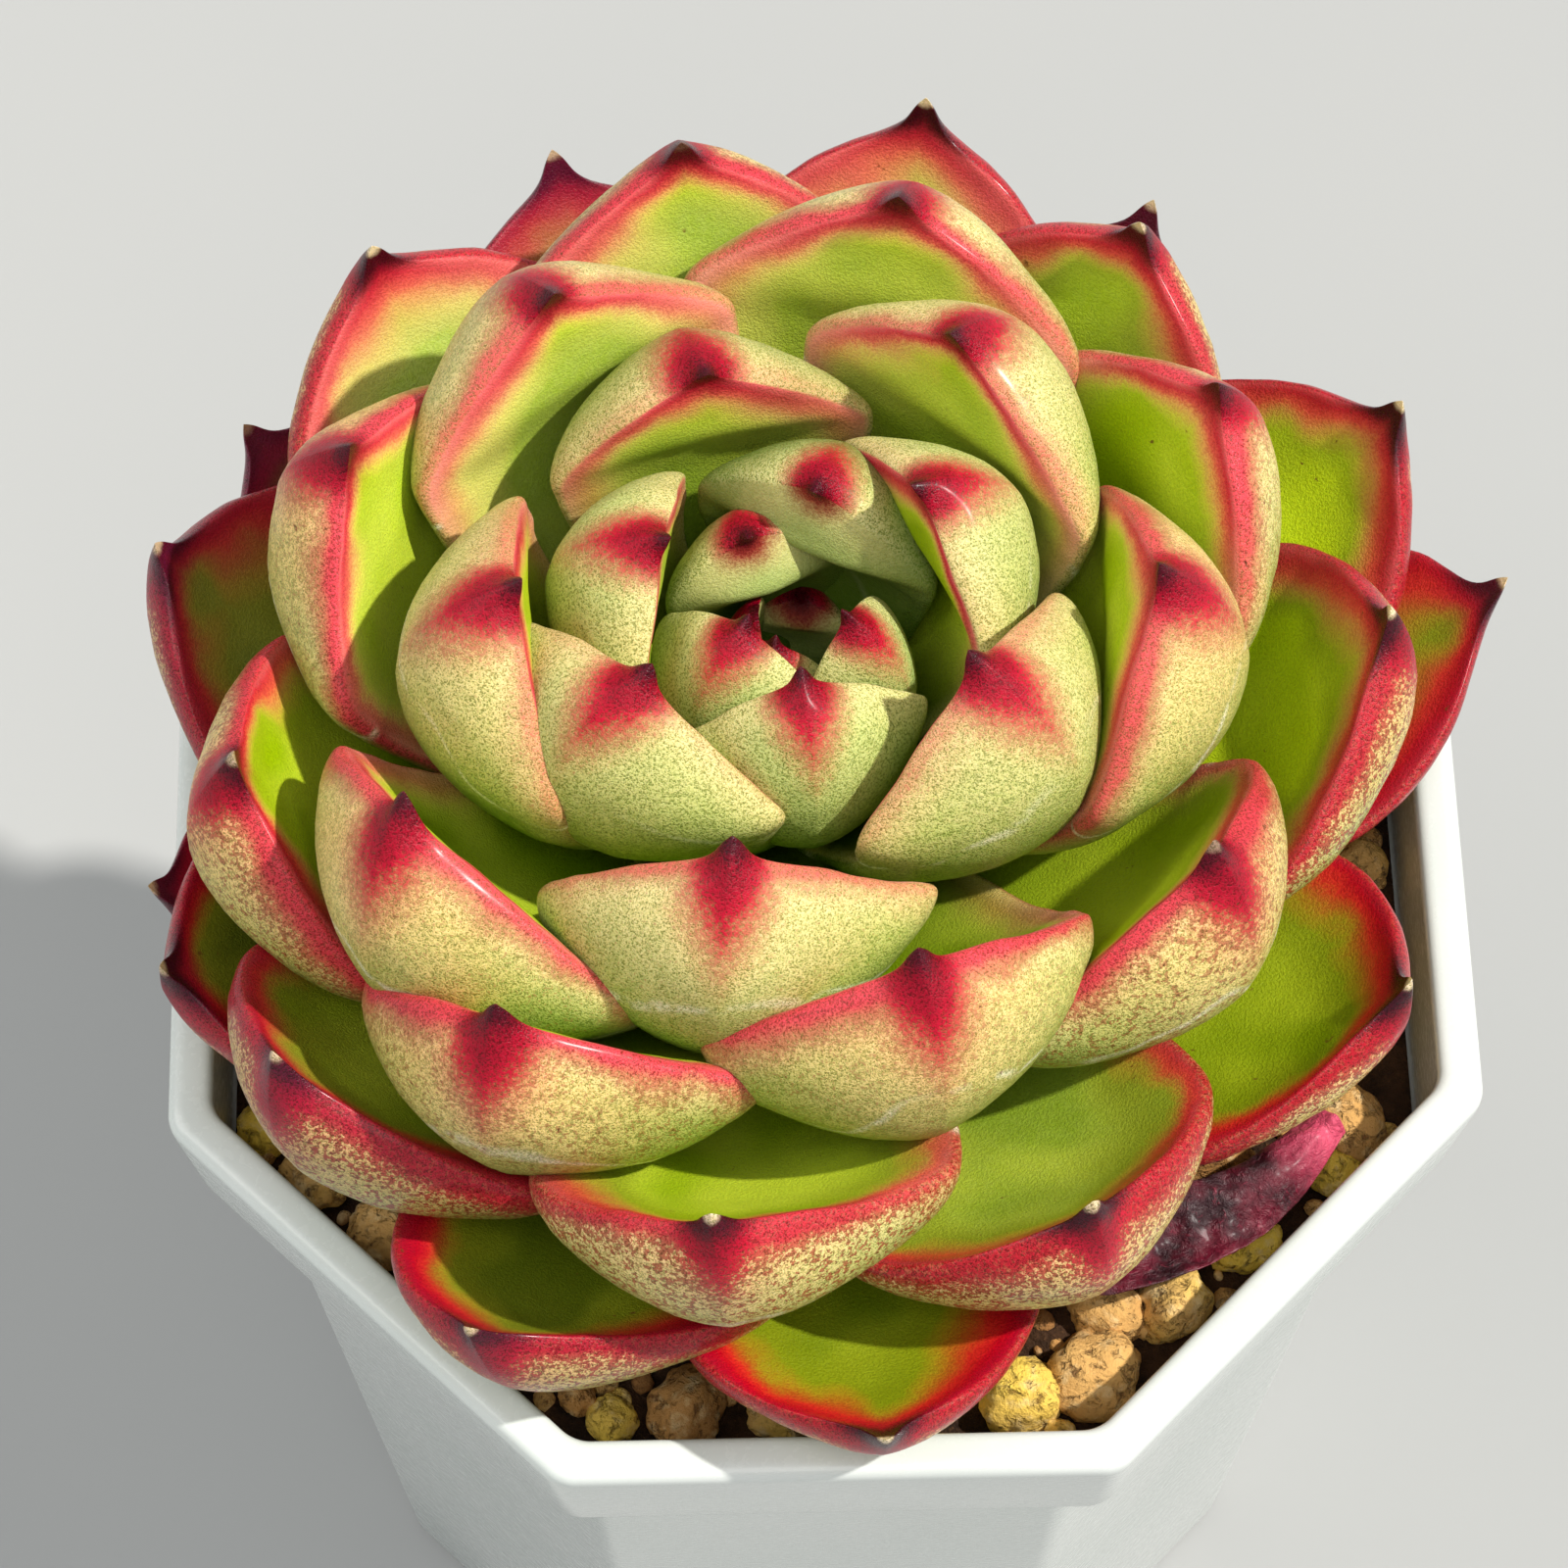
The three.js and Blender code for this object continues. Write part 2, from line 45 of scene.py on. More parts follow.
# The pot, in millimetres and degrees. Widths are across the flats.
POT_HEIGHT = 87
RIM_WIDTH = 85
RIM_INNER_WIDTH = 79
RIM_INNER_TAPER = 1
LIP_HEIGHT = 10.4
LIP_BOTTOM_WIDTH = 82
LIP_INNER_DEPTH = 9
LEDGE_DROP = 1.2
BODY_TOP_WIDTH = 75.2
BODY_BOTTOM_WIDTH = 62.5
WALL = 1.9
FLOOR_THICKNESS = 2.4
CORNER_RADIUS = 2.6
CORNER_SHARE = 0.4
SEAT_GAP = 0.3
DRAIN_HOLE_RADIUS = 3
DRAIN_HOLE_CIRCLE = 17
FLOOR_CENTRE = 6
POT_SHARP_ANGLE = 35
LEDGE_TOP = POT_HEIGHT - LIP_INNER_DEPTH
LEDGE_BOTTOM = LEDGE_TOP - LEDGE_DROP
LEDGE_WIDTH = RIM_INNER_WIDTH - RIM_INNER_TAPER
FILLING_INSET = 2 * SEAT_GAP / math.cos(math.pi / 8)

# The soil's bed and its stones. Depths are below the rim.
SOIL_DEPTH = 10.9
BEDDING_DEPTH = 8.4
STONE_COUNT = 74
STONE_RADIUS = (2.1, 3.2)
STONE_SPACING = 4.9
STONE_FREE_RADIUS = 27
STONE_TRIES = 4000
STONE_SEED = 20261
STONE_WALL_SHARE = 2.6
STONE_RISE = 0.25
STONE_DRAWS = 14
FRONT_STONES = (
    (16.6, -33.2, 3.2), (11.9, -34.5, 3), (22, -28.3, 3), (17.6, -28.6, 2.6), (26.8, -24, 2.7),
    (34.2, -15.6, 2.8), (33, -18.8, 2.1), (14.3, -37, 1.3), (-9.4, -34.8, 2.9), (-14.2, -35.4, 1.8),
    (-16.4, -33.4, 1.6), (-33.6, -18, 2.2), (-36.4, -14.4, 2.2),
)
STONE_SHRINK = 0.97
STONE_LOOKS_SEED = 11
STONE_DETAIL = 4
STONE_ROUGHNESS = 0.045
STONE_TONES = (0.1, 0.95)

# The grit between the stones.
GRIT_COUNT = 420
GRIT_FIELD = 38
GRIT_SIZE = (0.35, 1.0)
GRIT_WALL_GAP = 2.2
GRIT_FREE_RADIUS = 22
GRIT_RISE = 0.2
GRIT_DETAIL = 2
GRIT_ROUGHNESS = 0.06
GRIT_TONES = (0, 0.8)

# The bed under them: the height, scale and seed of its unevenness.
BED_RINGS = 48
BED_LUMPS = ((0.9, 0.45, 3), (0.5, 1.1, 8))

# The dried leaf lies on the stones along this path.
DRIED_PATH = (
    (8.5, -22, 83.6), (15.5, -26.6, 83.6), (21.5, -25.6, 83.8), (27.5, -22.6, 84.2),
    (32.6, -17.6, 84.4),
)
DRIED_HALF_WIDTH = 2.9
DRIED_THICKNESS = 0.7
DRIED_STEPS = 90
DRIED_ACROSS = 19
DRIED_FOLD = 0.8
DRIED_CREASES = (0.8, 0.35)

# The rosette. Heights are above the rim.
ROSETTE_AXIS = np.array([-3.0, 4.0])
FIRST_LEAF_TURN = 311
OVAL_SWING = 7
TURN_PER_LEAF = 137.85
OLDEST_LEAF = 48
MISSING_LEAVES = (45, 46, 47)
LEAVES_PER_VALUE = 8
BUD_SHIFT = np.array([1.8, 2.8])
BUD_SHIFT_FADE = 7
STEM_TOP = 11
STEM_TOP_RADIUS = 1.6
STEM_BOTTOM_RADIUS = 6.5
LOWEST_LEAF_BASE = -2.5

# Each law holds one value for every eighth leaf, from the bud to the oldest leaf.
LAW = {
    "tip_radius": (2, 6.5, 20, 32.5, 41.5, 46, 47),
    "tip_height": (23, 32, 35, 30, 22, 12.5, 7),
    "launch_angle": (86, 62, 36, 22, 14, 13, 14),
    "tip_angle": (105, 128, 113, 96, 79, 62, 47),
    "launch_reach": (0.35, 0.6, 0.68, 0.62, 0.5, 0.42, 0.4),
    "tip_reach": (0.3, 0.36, 0.4, 0.4, 0.4, 0.38, 0.36),
    "half_width": (2.2, 8, 12, 12.8, 13, 12.4, 11),
    "thickness": (1.8, 5, 7, 7.9, 7.8, 6.8, 5.2),
    "cup": (0.8, 3, 4, 3.6, 3, 2.2, 1.6),
    "nose": (0, 2.5, 4, 3, 1.5, 0.5, 0),
}

# Where single leaves stray from the rule: turn, roll, curl and sway in degrees, reach and rise of
# the tip and nose in millimetres, and breadth as a factor. Sway turns the body and leaves the tip
# in place. The nose is how far the upper face swells behind the tip.
ON_RULE = {"turn": 0, "reach": 0, "rise": 0, "roll": 0, "curl": 0, "sway": 0, "breadth": 1, "nose": 0}
STRAYS = {
    2: {"turn": 44, "reach": 1, "rise": -6, "curl": 15, "nose": 1.5},
    4: {"turn": 10, "reach": 0.5, "rise": 0.5, "curl": 12, "sway": -14, "breadth": 1.3, "nose": 3},
    5: {"turn": -20, "breadth": 0.8},
    6: {"turn": 24, "reach": -1},
    7: {"turn": 7, "roll": -8, "curl": 8, "breadth": 1.12, "nose": 2.5},
    8: {"turn": -5, "reach": 1},
    9: {"turn": 14, "reach": -1, "breadth": 1.05},
    10: {"turn": 10, "sway": -5},
    11: {"turn": -7, "roll": 5, "sway": -5, "breadth": 1.1},
    12: {"turn": 17, "reach": 1, "rise": -1.5},
    13: {"turn": 6, "reach": -1},
    14: {"reach": -1},
    15: {"turn": 9, "sway": -4},
    16: {"turn": 3, "roll": 8},
    17: {"reach": 1},
    18: {"curl": -10, "breadth": 0.95},
    19: {"reach": 2, "sway": 9},
    20: {"turn": 4, "reach": 1, "breadth": 1.04},
    21: {"turn": -5, "reach": -1},
    22: {"turn": -4, "reach": -2},
    23: {"curl": -8, "breadth": 0.95},
    24: {"roll": 6, "sway": 4},
    26: {"turn": -3, "reach": -4, "curl": 4, "sway": -4},
    27: {"reach": -2},
    29: {"turn": -3, "reach": 1, "roll": 6, "sway": 3},
    30: {"turn": -5, "reach": -1},
    31: {"turn": -2, "reach": -2, "curl": 4, "sway": -5},
    32: {"reach": -1, "curl": 6, "sway": 6},
    33: {"reach": 1.5},
    34: {"turn": -5, "reach": -2, "curl": 14},
    35: {"turn": -8, "reach": -3},
    36: {"turn": -6, "reach": 2},
    37: {"reach": 1, "rise": -1, "curl": 5, "sway": 8},
    38: {"curl": -4},
    39: {"turn": -5, "reach": -2, "rise": -1, "curl": 8, "sway": -6},
    40: {"reach": -4},
    41: {"reach": 1, "rise": 1.5, "curl": -3},
    42: {"turn": 2, "reach": 2},
    43: {"reach": -5, "rise": 2},
    44: {"turn": 1, "reach": 3, "curl": -6, "sway": -4},
    48: {"turn": 10, "reach": -6},
}

# A leaf's outline and section.
WIDEST_AT = 0.6
BASE_WIDTH_SHARE = 0.5
OUTLINE_POWER = 1.9
HORN_PLACE = 0.9
HORN_SPREAD = 0.12
HORN_WAIST = 0.5
ROOT_THICKNESS_SHARE = 0.62
THICKNESS_POWER = 4.5
ROLL_RANGE = 8
BEND_POWER = 3
NOSE_RANGE = (0.3, 0.8)
BACK_CURVE = ((1, 0), (1.12, 0.42), (0.55, 0.9), (0, 1))

# How finely a leaf is made.
RINGS = 72
RING_CROWDING = 1.45
TOP_STEPS = 25
BACK_STEPS = 41
MARGIN_SOFTENING = 22
MARGIN_REACH = 7
MARGIN_PULL = 0.6

# The skin's unevenness: height in millimetres, scale and seed. It fades out towards the horn.
SWELLS = ((0.28, 0.16, 0), (0.07, 0.6, 50))
CALM_TIP = 1.5
CALM_FADE = 5
# Distances for points that are far from a keel or from the tip.
NO_KEEL = 20
FAR_FROM_TIP = 30

# How red a leaf is grows with its age. Single leaves have extra red or purple, as shares.
BLUSH_PER_AGE = 0.8
BLUSH_LIMIT = 1.2
BLUSH = {
    13: 0.05, 14: 0.16, 18: 0.2, 19: 0.2, 21: 0.15, 22: 0.2, 23: -0.1, 24: 0.22, 26: 0.1, 27: 0.12,
    29: -0.05, 31: 0.2, 32: 0.15, 33: 0.25, 34: -0.1, 35: 0.3, 36: 0.25, 37: 0.15, 38: 0.35,
    39: -0.1, 40: 0.2, 41: 0.2, 42: 0.1, 43: 0.45, 44: 0.75, 48: 0.4,
}
PURPLE = {32: 0.35, 35: 0.5, 37: 0.25, 38: 0.6, 40: 0.3, 41: 0.3, 43: 1.0, 44: 0.15, 48: 0.5}
# Painted light: the tops of leaves that face the sun are painted a brighter green; painted shade:
# leaves deep in the bud are painted dark.
PAINTED_SUN = {15: 0.2, 18: 0.3, 22: 0.5, 23: 0.4, 26: 0.4, 28: 0.6, 31: 0.8, 36: 0.9, 39: 0.2, 44: 0.3}
PAINTED_SHADE = {1: 1.0, 2: 1.0, 3: 0.7, 4: 1.0, 6: 0.2, 7: 0.9, 12: 0.35}
# A pale bloom together with painted sheen of the sun, most of it on the far side: paler, creamier tops
# and a wider pale border.
MILKY_BLOOM_AND_SHEEN = {
    12: 0.4, 15: 0.3, 17: 0.7, 20: 0.4, 22: 0.3, 25: 0.7, 28: 0.3, 30: 1.0, 33: 0.9, 34: 0.3,
    35: 0.3, 38: 0.5,
}

# The photograph's camera: angles in degrees, its aim in millimetres, and its lens.
CAMERA_ELEVATION = 62.294
CAMERA_TURN = -1.563
CAMERA_ROLL = 0.187
CAMERA_AIM = (-2.18, 6.23, POT_HEIGHT)
CAMERA_DISTANCE = 367.9
SENSOR_WIDTH = 36
FOCAL_LENGTH = 127.7

# The studio, in metres.
LIGHT_DISTANCE = 0.8
AIM_HEIGHT = 0.08
FLOOR_REACH = 4


def seeded_random(seed):
    state = seed

    def draw():
        nonlocal state
        state = (state * 1664525 + 1013904223) & 0xFFFFFFFF
        return state / 4294967296

    return draw


def law_at(values, leaf):
    """Smooth value of a law at a leaf's place in the spiral."""
    place = min(max(leaf / LEAVES_PER_VALUE, 0), len(values) - 1)
    start = min(int(place), len(values) - 2)
    t = place - start
    a = values[max(start - 1, 0)]
    b = values[start]
    c = values[start + 1]
    d = values[min(start + 2, len(values) - 1)]
    return b + 0.5 * t * (c - a + t * (2 * a - 5 * b + 4 * c - d + t * (3 * (b - c) + d - a)))


def bezier(points, t):
    """Points and slopes of a cubic Bezier curve at an array of places."""
    p = [np.asarray(q, float)[None, :] for q in points]
    t = np.asarray(t, float)[:, None]
    s = 1 - t
    place = s**3 * p[0] + 3 * s * s * t * p[1] + 3 * s * t * t * p[2] + t**3 * p[3]
    slope = 3 * s * s * (p[1] - p[0]) + 6 * s * t * (p[2] - p[1]) + 3 * t * t * (p[3] - p[2])
    return place, slope


def leaf_form(leaf):
    """All that shapes one leaf, worked out from its place in the spiral."""
    draw = seeded_random(leaf * 7919 + 11)
    age = leaf / OLDEST_LEAF
    stray = {**ON_RULE, **STRAYS.get(leaf, {})}
    axis = ROSETTE_AXIS + BUD_SHIFT * math.exp(-leaf / BUD_SHIFT_FADE)
    spiral = math.radians(FIRST_LEAF_TURN - TURN_PER_LEAF * leaf)
    tip_turn = spiral + math.radians(OVAL_SWING * math.cos(2 * spiral) + stray["turn"])
    base = np.array([
        STEM_TOP_RADIUS + (STEM_BOTTOM_RADIUS - STEM_TOP_RADIUS) * age + SEAT_GAP,
        STEM_TOP + (LOWEST_LEAF_BASE - STEM_TOP) * age,
    ])
    tip = np.array([
        law_at(LAW["tip_radius"], leaf) + stray["reach"],
        law_at(LAW["tip_height"], leaf) + stray["rise"],
    ])
    chord = np.linalg.norm(tip - base)
    launch = math.radians(law_at(LAW["launch_angle"], leaf))
    arrive = math.radians(law_at(LAW["tip_angle"], leaf) + stray["curl"])
    launch_way = np.array([math.cos(launch), math.sin(launch)])
    tip_way = np.array([math.cos(arrive), math.sin(arrive)])
    return {
        "turn": tip_turn + math.radians(stray["sway"]),
        "axis": axis,
        "midline": (
            base,
            base + launch_way * chord * law_at(LAW["launch_reach"], leaf),
            tip - tip_way * chord * law_at(LAW["tip_reach"], leaf),
            tip,
        ),
        "side_bend": -tip[0] * math.sin(math.radians(stray["sway"])),
        "half_width": law_at(LAW["half_width"], leaf) * stray["breadth"],
        "thickness": law_at(LAW["thickness"], leaf),
        "cup": law_at(LAW["cup"], leaf),
        "nose": law_at(LAW["nose"], leaf) + stray["nose"],
        "roll": math.radians((draw() - 0.5) * ROLL_RANGE + stray["roll"]),
    }


def width_share(u):
    rise = BASE_WIDTH_SHARE + (1 - BASE_WIDTH_SHARE) * np.sin(np.pi / 2 * u / WIDEST_AT)
    t = np.clip((u - WIDEST_AT) / (1 - WIDEST_AT), 0, 1)
    waist = 1 - HORN_WAIST * np.exp(-(((t - HORN_PLACE) / HORN_SPREAD) ** 2))
    return np.where(u < WIDEST_AT, rise, (1 - t**OUTLINE_POWER) * waist)


def thickness_share(u):
    swell = np.sin(np.pi / 2 * np.minimum(u / 0.5, 1))
    body = ROOT_THICKNESS_SHARE + (1 - ROOT_THICKNESS_SHARE) * swell
    return body * (1 - u**THICKNESS_POWER)


def leaf_section():
    """Side and depth shares round a leaf, over its top and back along its underside."""
    top = -np.cos(np.linspace(0, np.pi, TOP_STEPS))
    half = (1 - np.cos(np.linspace(0, np.pi, (BACK_STEPS + 1) // 2 + 1))) / 2
    right, _ = bezier(BACK_CURVE, half[1:])
    left = right[-2::-1] * [-1, 1]
    side = np.concatenate([top, right[:, 0], left[:, 0]])
    depth = np.concatenate([np.zeros(TOP_STEPS), right[:, 1], left[:, 1]])
    return side, depth


def leaf_grid(form):
    """Rings of points on a leaf, in millimetres, each over the top and back along the underside."""
    u = 1 - (1 - np.linspace(0, 1, RINGS + 1)[:-1]) ** RING_CROWDING
    side_share, depth_share = leaf_section()
    place, slope = bezier(form["midline"], u)
    slope /= np.linalg.norm(slope, axis=1, keepdims=True)
    inward = np.stack([-slope[:, 1], slope[:, 0]], 1)
    w = width_share(u)
    side = side_share[None, :] * form["half_width"] * w[:, None]
    v = np.minimum(np.abs(side_share), 1)[None, :]
    lift = form["cup"] * v * v * (w * np.minimum(1, 2 * u))[:, None]
    lift = lift + side * math.tan(form["roll"])
    lift = lift - form["thickness"] * thickness_share(u)[:, None] * depth_share[None, :]
    near = np.clip((u - NOSE_RANGE[0]) / (NOSE_RANGE[1] - NOSE_RANGE[0]), 0, 1)
    nose = form["nose"] * (1 - v * v) * (w * near * near * (3 - 2 * near))[:, None]
    lift = lift + np.where(depth_share[None, :] == 0, nose, 0)
    across = side + (form["side_bend"] * u**BEND_POWER)[:, None]
    r = place[:, 0:1] + inward[:, 0:1] * lift
    z = place[:, 1:2] + inward[:, 1:2] * lift
    c, s = math.cos(form["turn"]), math.sin(form["turn"])
    points = np.stack([
        form["axis"][0] + r * c - across * s,
        form["axis"][1] + r * s + across * c,
        POT_HEIGHT + z,
    ], -1)
    tip = form["midline"][3]
    apex = np.array([
        form["axis"][0] + tip[0] * c - form["side_bend"] * s,
        form["axis"][1] + tip[0] * s + form["side_bend"] * c,
        POT_HEIGHT + tip[1],
    ])
    return u, points, apex


def soften_margins(points):
    """Rounds the two margins, where the top meets the underside."""
    count = points.shape[1]
    index = np.arange(count)
    weight = np.zeros(count)
    for margin in (0, TOP_STEPS - 1):
        gap = np.abs(index - margin)
        gap = np.minimum(gap, count - gap)
        weight = np.maximum(weight, np.clip(1 - gap / MARGIN_REACH, 0, 1))
    for _ in range(MARGIN_SOFTENING):
        middle = (np.roll(points, 1, 1) + np.roll(points, -1, 1)) / 2
        points = points + (middle - points) * (MARGIN_PULL * weight)[None, :, None]
    return points


def closed_mesh(name, points, start, end):
    """A closed mesh over rings of points with a point at each end. Millimetres in, metres out."""
    rings, count = points.shape[:2]
    verts = np.concatenate([points.reshape(-1, 3), start[None], end[None]]) * MM
    index = np.arange(rings * count).reshape(rings, count)
    a = index[:-1].ravel()
    b = np.roll(index, -1, 1)[:-1].ravel()
    c = np.roll(index, -1, 1)[1:].ravel()
    d = index[1:].ravel()
    faces = np.stack([a, d, c, b], 1).tolist()
    first = index[0]
    last = index[-1]
    base, apex = rings * count, rings * count + 1
    faces += [[base, int(first[i]), int(first[(i + 1) % count])] for i in range(count)]
    faces += [[apex, int(last[(i + 1) % count]), int(last[i])] for i in range(count)]
    mesh = bpy.data.meshes.new(name)
    mesh.from_pydata(verts.tolist(), [], faces)
    mesh.shade_smooth()
    return mesh


def add_piece(name, mesh, material, nodes):
    """Puts a mesh in the scene as a piece on the object's one body."""
    piece = bpy.data.objects.new(name, mesh)
    bpy.context.scene.collection.objects.link(piece)
    if material is not None:
        mesh.materials.append(material)
    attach(piece, "root")
    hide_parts(*nodes)
    return piece


def put_attribute(mesh, name, rows):
    """Stores three numbers on each vertex."""
    layer = mesh.attributes.new(name, "FLOAT_VECTOR", "POINT")
    layer.data.foreach_set("vector", np.asarray(rows, np.float32).ravel())


def wobble(co, scale, seed):
    """Smooth noise at points in millimetres."""
    shift = Vector((seed * 7.3, seed * 3.1, seed * 5.7))
    return np.array([noise.noise(Vector(p) * scale + shift) for p in co])


def make_leaf(leaf, material):
    form = leaf_form(leaf)
    u, points, apex = leaf_grid(form)
    points = soften_margins(points)
    name = f"fine_leaf_{leaf:02d}"
    start = points[0].mean(0)
    mesh = closed_mesh(name, points, start, apex)
    count = points.shape[1]

    # Lengths along each ring from its margins and its keel.
    steps = np.linalg.norm(np.roll(points, -1, 1) - points, axis=2)
    arc = np.concatenate([np.zeros((RINGS, 1)), np.cumsum(steps, 1)], 1)
    whole = arc[:, -1:]
    arc = arc[:, :-1]
    second = arc[:, TOP_STEPS - 1:TOP_STEPS]
    edge = np.minimum(np.minimum(arc, whole - arc), np.abs(arc - second))
    keel_at = (TOP_STEPS - 1 + count) // 2
    keel = np.abs(arc - arc[:, keel_at:keel_at + 1])
    tip = np.linalg.norm(points - apex, axis=2)
    back = np.zeros((RINGS, count))
    back[:, TOP_STEPS:] = 1
    back[:, 0] = 0.5
    back[:, TOP_STEPS - 1] = 0.5
    keel = np.where(back > 0, keel, NO_KEEL)
    along = np.repeat(u[:, None], count, 1)
    side = np.tile(leaf_section()[0], (RINGS, 1))

    # Slight unevenness of the skin, none at the horn.
    co = points.reshape(-1, 3)
    normals = np.zeros(len(mesh.vertices) * 3)
    mesh.vertices.foreach_get("normal", normals)
    normals = normals.reshape(-1, 3)[:len(co)]
    calm = np.clip((tip.ravel() - CALM_TIP) / CALM_FADE, 0, 1)
    swell = sum(height * wobble(co, scale, leaf + seed) for height, scale, seed in SWELLS)
    moved = (co + normals * (swell * calm)[:, None]) * MM
    verts = np.concatenate([moved, start[None] * MM, apex[None] * MM])
    mesh.vertices.foreach_set("co", verts.ravel())

    age = leaf / OLDEST_LEAF
    blush = min(max(age * BLUSH_PER_AGE + BLUSH.get(leaf, 0), 0), BLUSH_LIMIT)
    ends = [[0, FAR_FROM_TIP, 0], [0, 0, 0]]
    place = np.stack([edge.ravel(), tip.ravel(), keel.ravel()], 1)
    put_attribute(mesh, "place", np.concatenate([place, ends]))
    shape = np.stack([along.ravel(), back.ravel(), side.ravel()], 1)
    put_attribute(mesh, "shape", np.concatenate([shape, [[0, 1, 0], [1, 1, 0]]]))
    for key, row in (
        ("tint", (blush, PURPLE.get(leaf, 0), leaf)),
        ("light", (PAINTED_SUN.get(leaf, 0), PAINTED_SHADE.get(leaf, 0), MILKY_BLOOM_AND_SHEEN.get(leaf, 0))),
    ):
        put_attribute(mesh, key, np.tile(row, (len(mesh.vertices), 1)))
    mesh.update()
    add_piece(name, mesh, material, [f"leaf_{leaf:02d}"])


def srgb(r, g, b):
    """A colour from 0 to 255 in the usual picture scale, as linear light."""
    return tuple(
        (x / 255 / 12.92 if x <= 10 else ((x / 255 + 0.055) / 1.055) ** 2.4) for x in (r, g, b)
    ) + (1,)


# How far apart the noise of one leaf and the next is taken, in millimetres.
SHIFT_STEP = (31, 53, 17)


class Graph:
    """A material's nodes, with a short call for each kind."""

    def __init__(self, name):
        self.material = bpy.data.materials.new(name)
        self.material.use_nodes = True
        self.tree = self.material.node_tree
        self.shader = self.tree.nodes["Principled BSDF"]

    def put(self, socket, value):
        if isinstance(value, bpy.types.NodeSocket):
            self.tree.links.new(value, socket)
        elif isinstance(value, (int, float)) and socket.type == "VECTOR":
            socket.default_value = (value,) * 3
        else:
            socket.default_value = value

    def math(self, kind, a, b=0.0):
        node = self.tree.nodes.new("ShaderNodeMath")
        node.operation = kind
        self.put(node.inputs[0], a)
        self.put(node.inputs[1], b)
        return node.outputs[0]

    def mul(self, a, b):
        return self.math("MULTIPLY", a, b)

    def add(self, a, b):
        return self.math("ADD", a, b)

    def smooth(self, value, low, high, to_low=0.0, to_high=1.0):
        """A soft step, from one number at low to another at high."""
        node = self.tree.nodes.new("ShaderNodeMapRange")
        node.interpolation_type = "SMOOTHSTEP"
        for key, x in (("Value", value), ("From Min", low), ("From Max", high),
                       ("To Min", to_low), ("To Max", to_high)):
            self.put(node.inputs[key], x)
        return node.outputs[0]

    def mix(self, share, a, b, kind="MIX"):
        node = self.tree.nodes.new("ShaderNodeMix")
        node.data_type = "RGBA"
        node.blend_type = kind
        self.put(node.inputs[0], share)
        self.put(node.inputs[6], a)
        self.put(node.inputs[7], b)
        return node.outputs[2]

    def mix_value(self, share, a, b):
        """A number part of the way from one to another."""
        return self.add(a, self.mul(share, self.math("SUBTRACT", b, a)))

    def ramp(self, share, stops):
        """A colour from a row of (place, colour) stops."""
        node = self.tree.nodes.new("ShaderNodeValToRGB")
        self.put(node.inputs[0], share)
        ramp = node.color_ramp
        while len(ramp.elements) < len(stops):
            ramp.elements.new(1.0)
        for element, (place, color) in zip(ramp.elements, stops):
            element.position = place
            element.color = color
        return node.outputs[0]

    def split(self, name):
        """The three numbers of a stored attribute."""
        node = self.tree.nodes.new("ShaderNodeAttribute")
        node.attribute_name = name
        parts = self.tree.nodes.new("ShaderNodeSeparateXYZ")
        self.tree.links.new(node.outputs["Vector"], parts.inputs[0])
        return parts.outputs[0], parts.outputs[1], parts.outputs[2]

    def spot(self, stretch=(1, 1, 1), shift=None):
        """Object coordinates in millimetres, moved far off where a shift is given."""
        place = self.tree.nodes.new("ShaderNodeTexCoord")
        scale = self.tree.nodes.new("ShaderNodeMapping")
        scale.inputs["Scale"].default_value = [s / MM for s in stretch]
        self.tree.links.new(place.outputs["Object"], scale.inputs["Vector"])
        if shift is None:
            return scale.outputs[0]
        move = self.tree.nodes.new("ShaderNodeVectorMath")
        move.operation = "MULTIPLY_ADD"
        self.put(move.inputs[0], shift)
        move.inputs[1].default_value = SHIFT_STEP
        self.put(move.inputs[2], scale.outputs[0])
        return move.outputs[0]

    def noise(self, spot, scale, detail=2.0, rough=0.5, warp=0.0):
        node = self.tree.nodes.new("ShaderNodeTexNoise")
        self.put(node.inputs["Vector"], spot)
        node.inputs["Scale"].default_value = scale
        node.inputs["Detail"].default_value = detail
        node.inputs["Roughness"].default_value = rough
        node.inputs["Distortion"].default_value = warp
        return node.outputs[0]

    def cells(self, spot, scale):
        """Distance from the nearest of many scattered points."""
        node = self.tree.nodes.new("ShaderNodeTexVoronoi")
        self.put(node.inputs["Vector"], spot)
        node.inputs["Scale"].default_value = scale
        return node.outputs["Distance"]

    def bump(self, height, strength, distance_mm, under=None):
        node = self.tree.nodes.new("ShaderNodeBump")
        node.inputs["Strength"].default_value = strength
        node.inputs["Distance"].default_value = distance_mm * MM
        self.put(node.inputs["Height"], height)
        if under is not None:
            self.put(node.inputs["Normal"], under)
        return node.outputs[0]

    def finish(self, color, roughness, normal=None, **constants):
        self.put(self.shader.inputs["Base Color"], color)
        self.put(self.shader.inputs["Roughness"], roughness)
        if normal is not None:
            self.put(self.shader.inputs["Normal"], normal)
        for key, value in constants.items():
            self.shader.inputs[key.replace("_", " ")].default_value = value
        return self.material


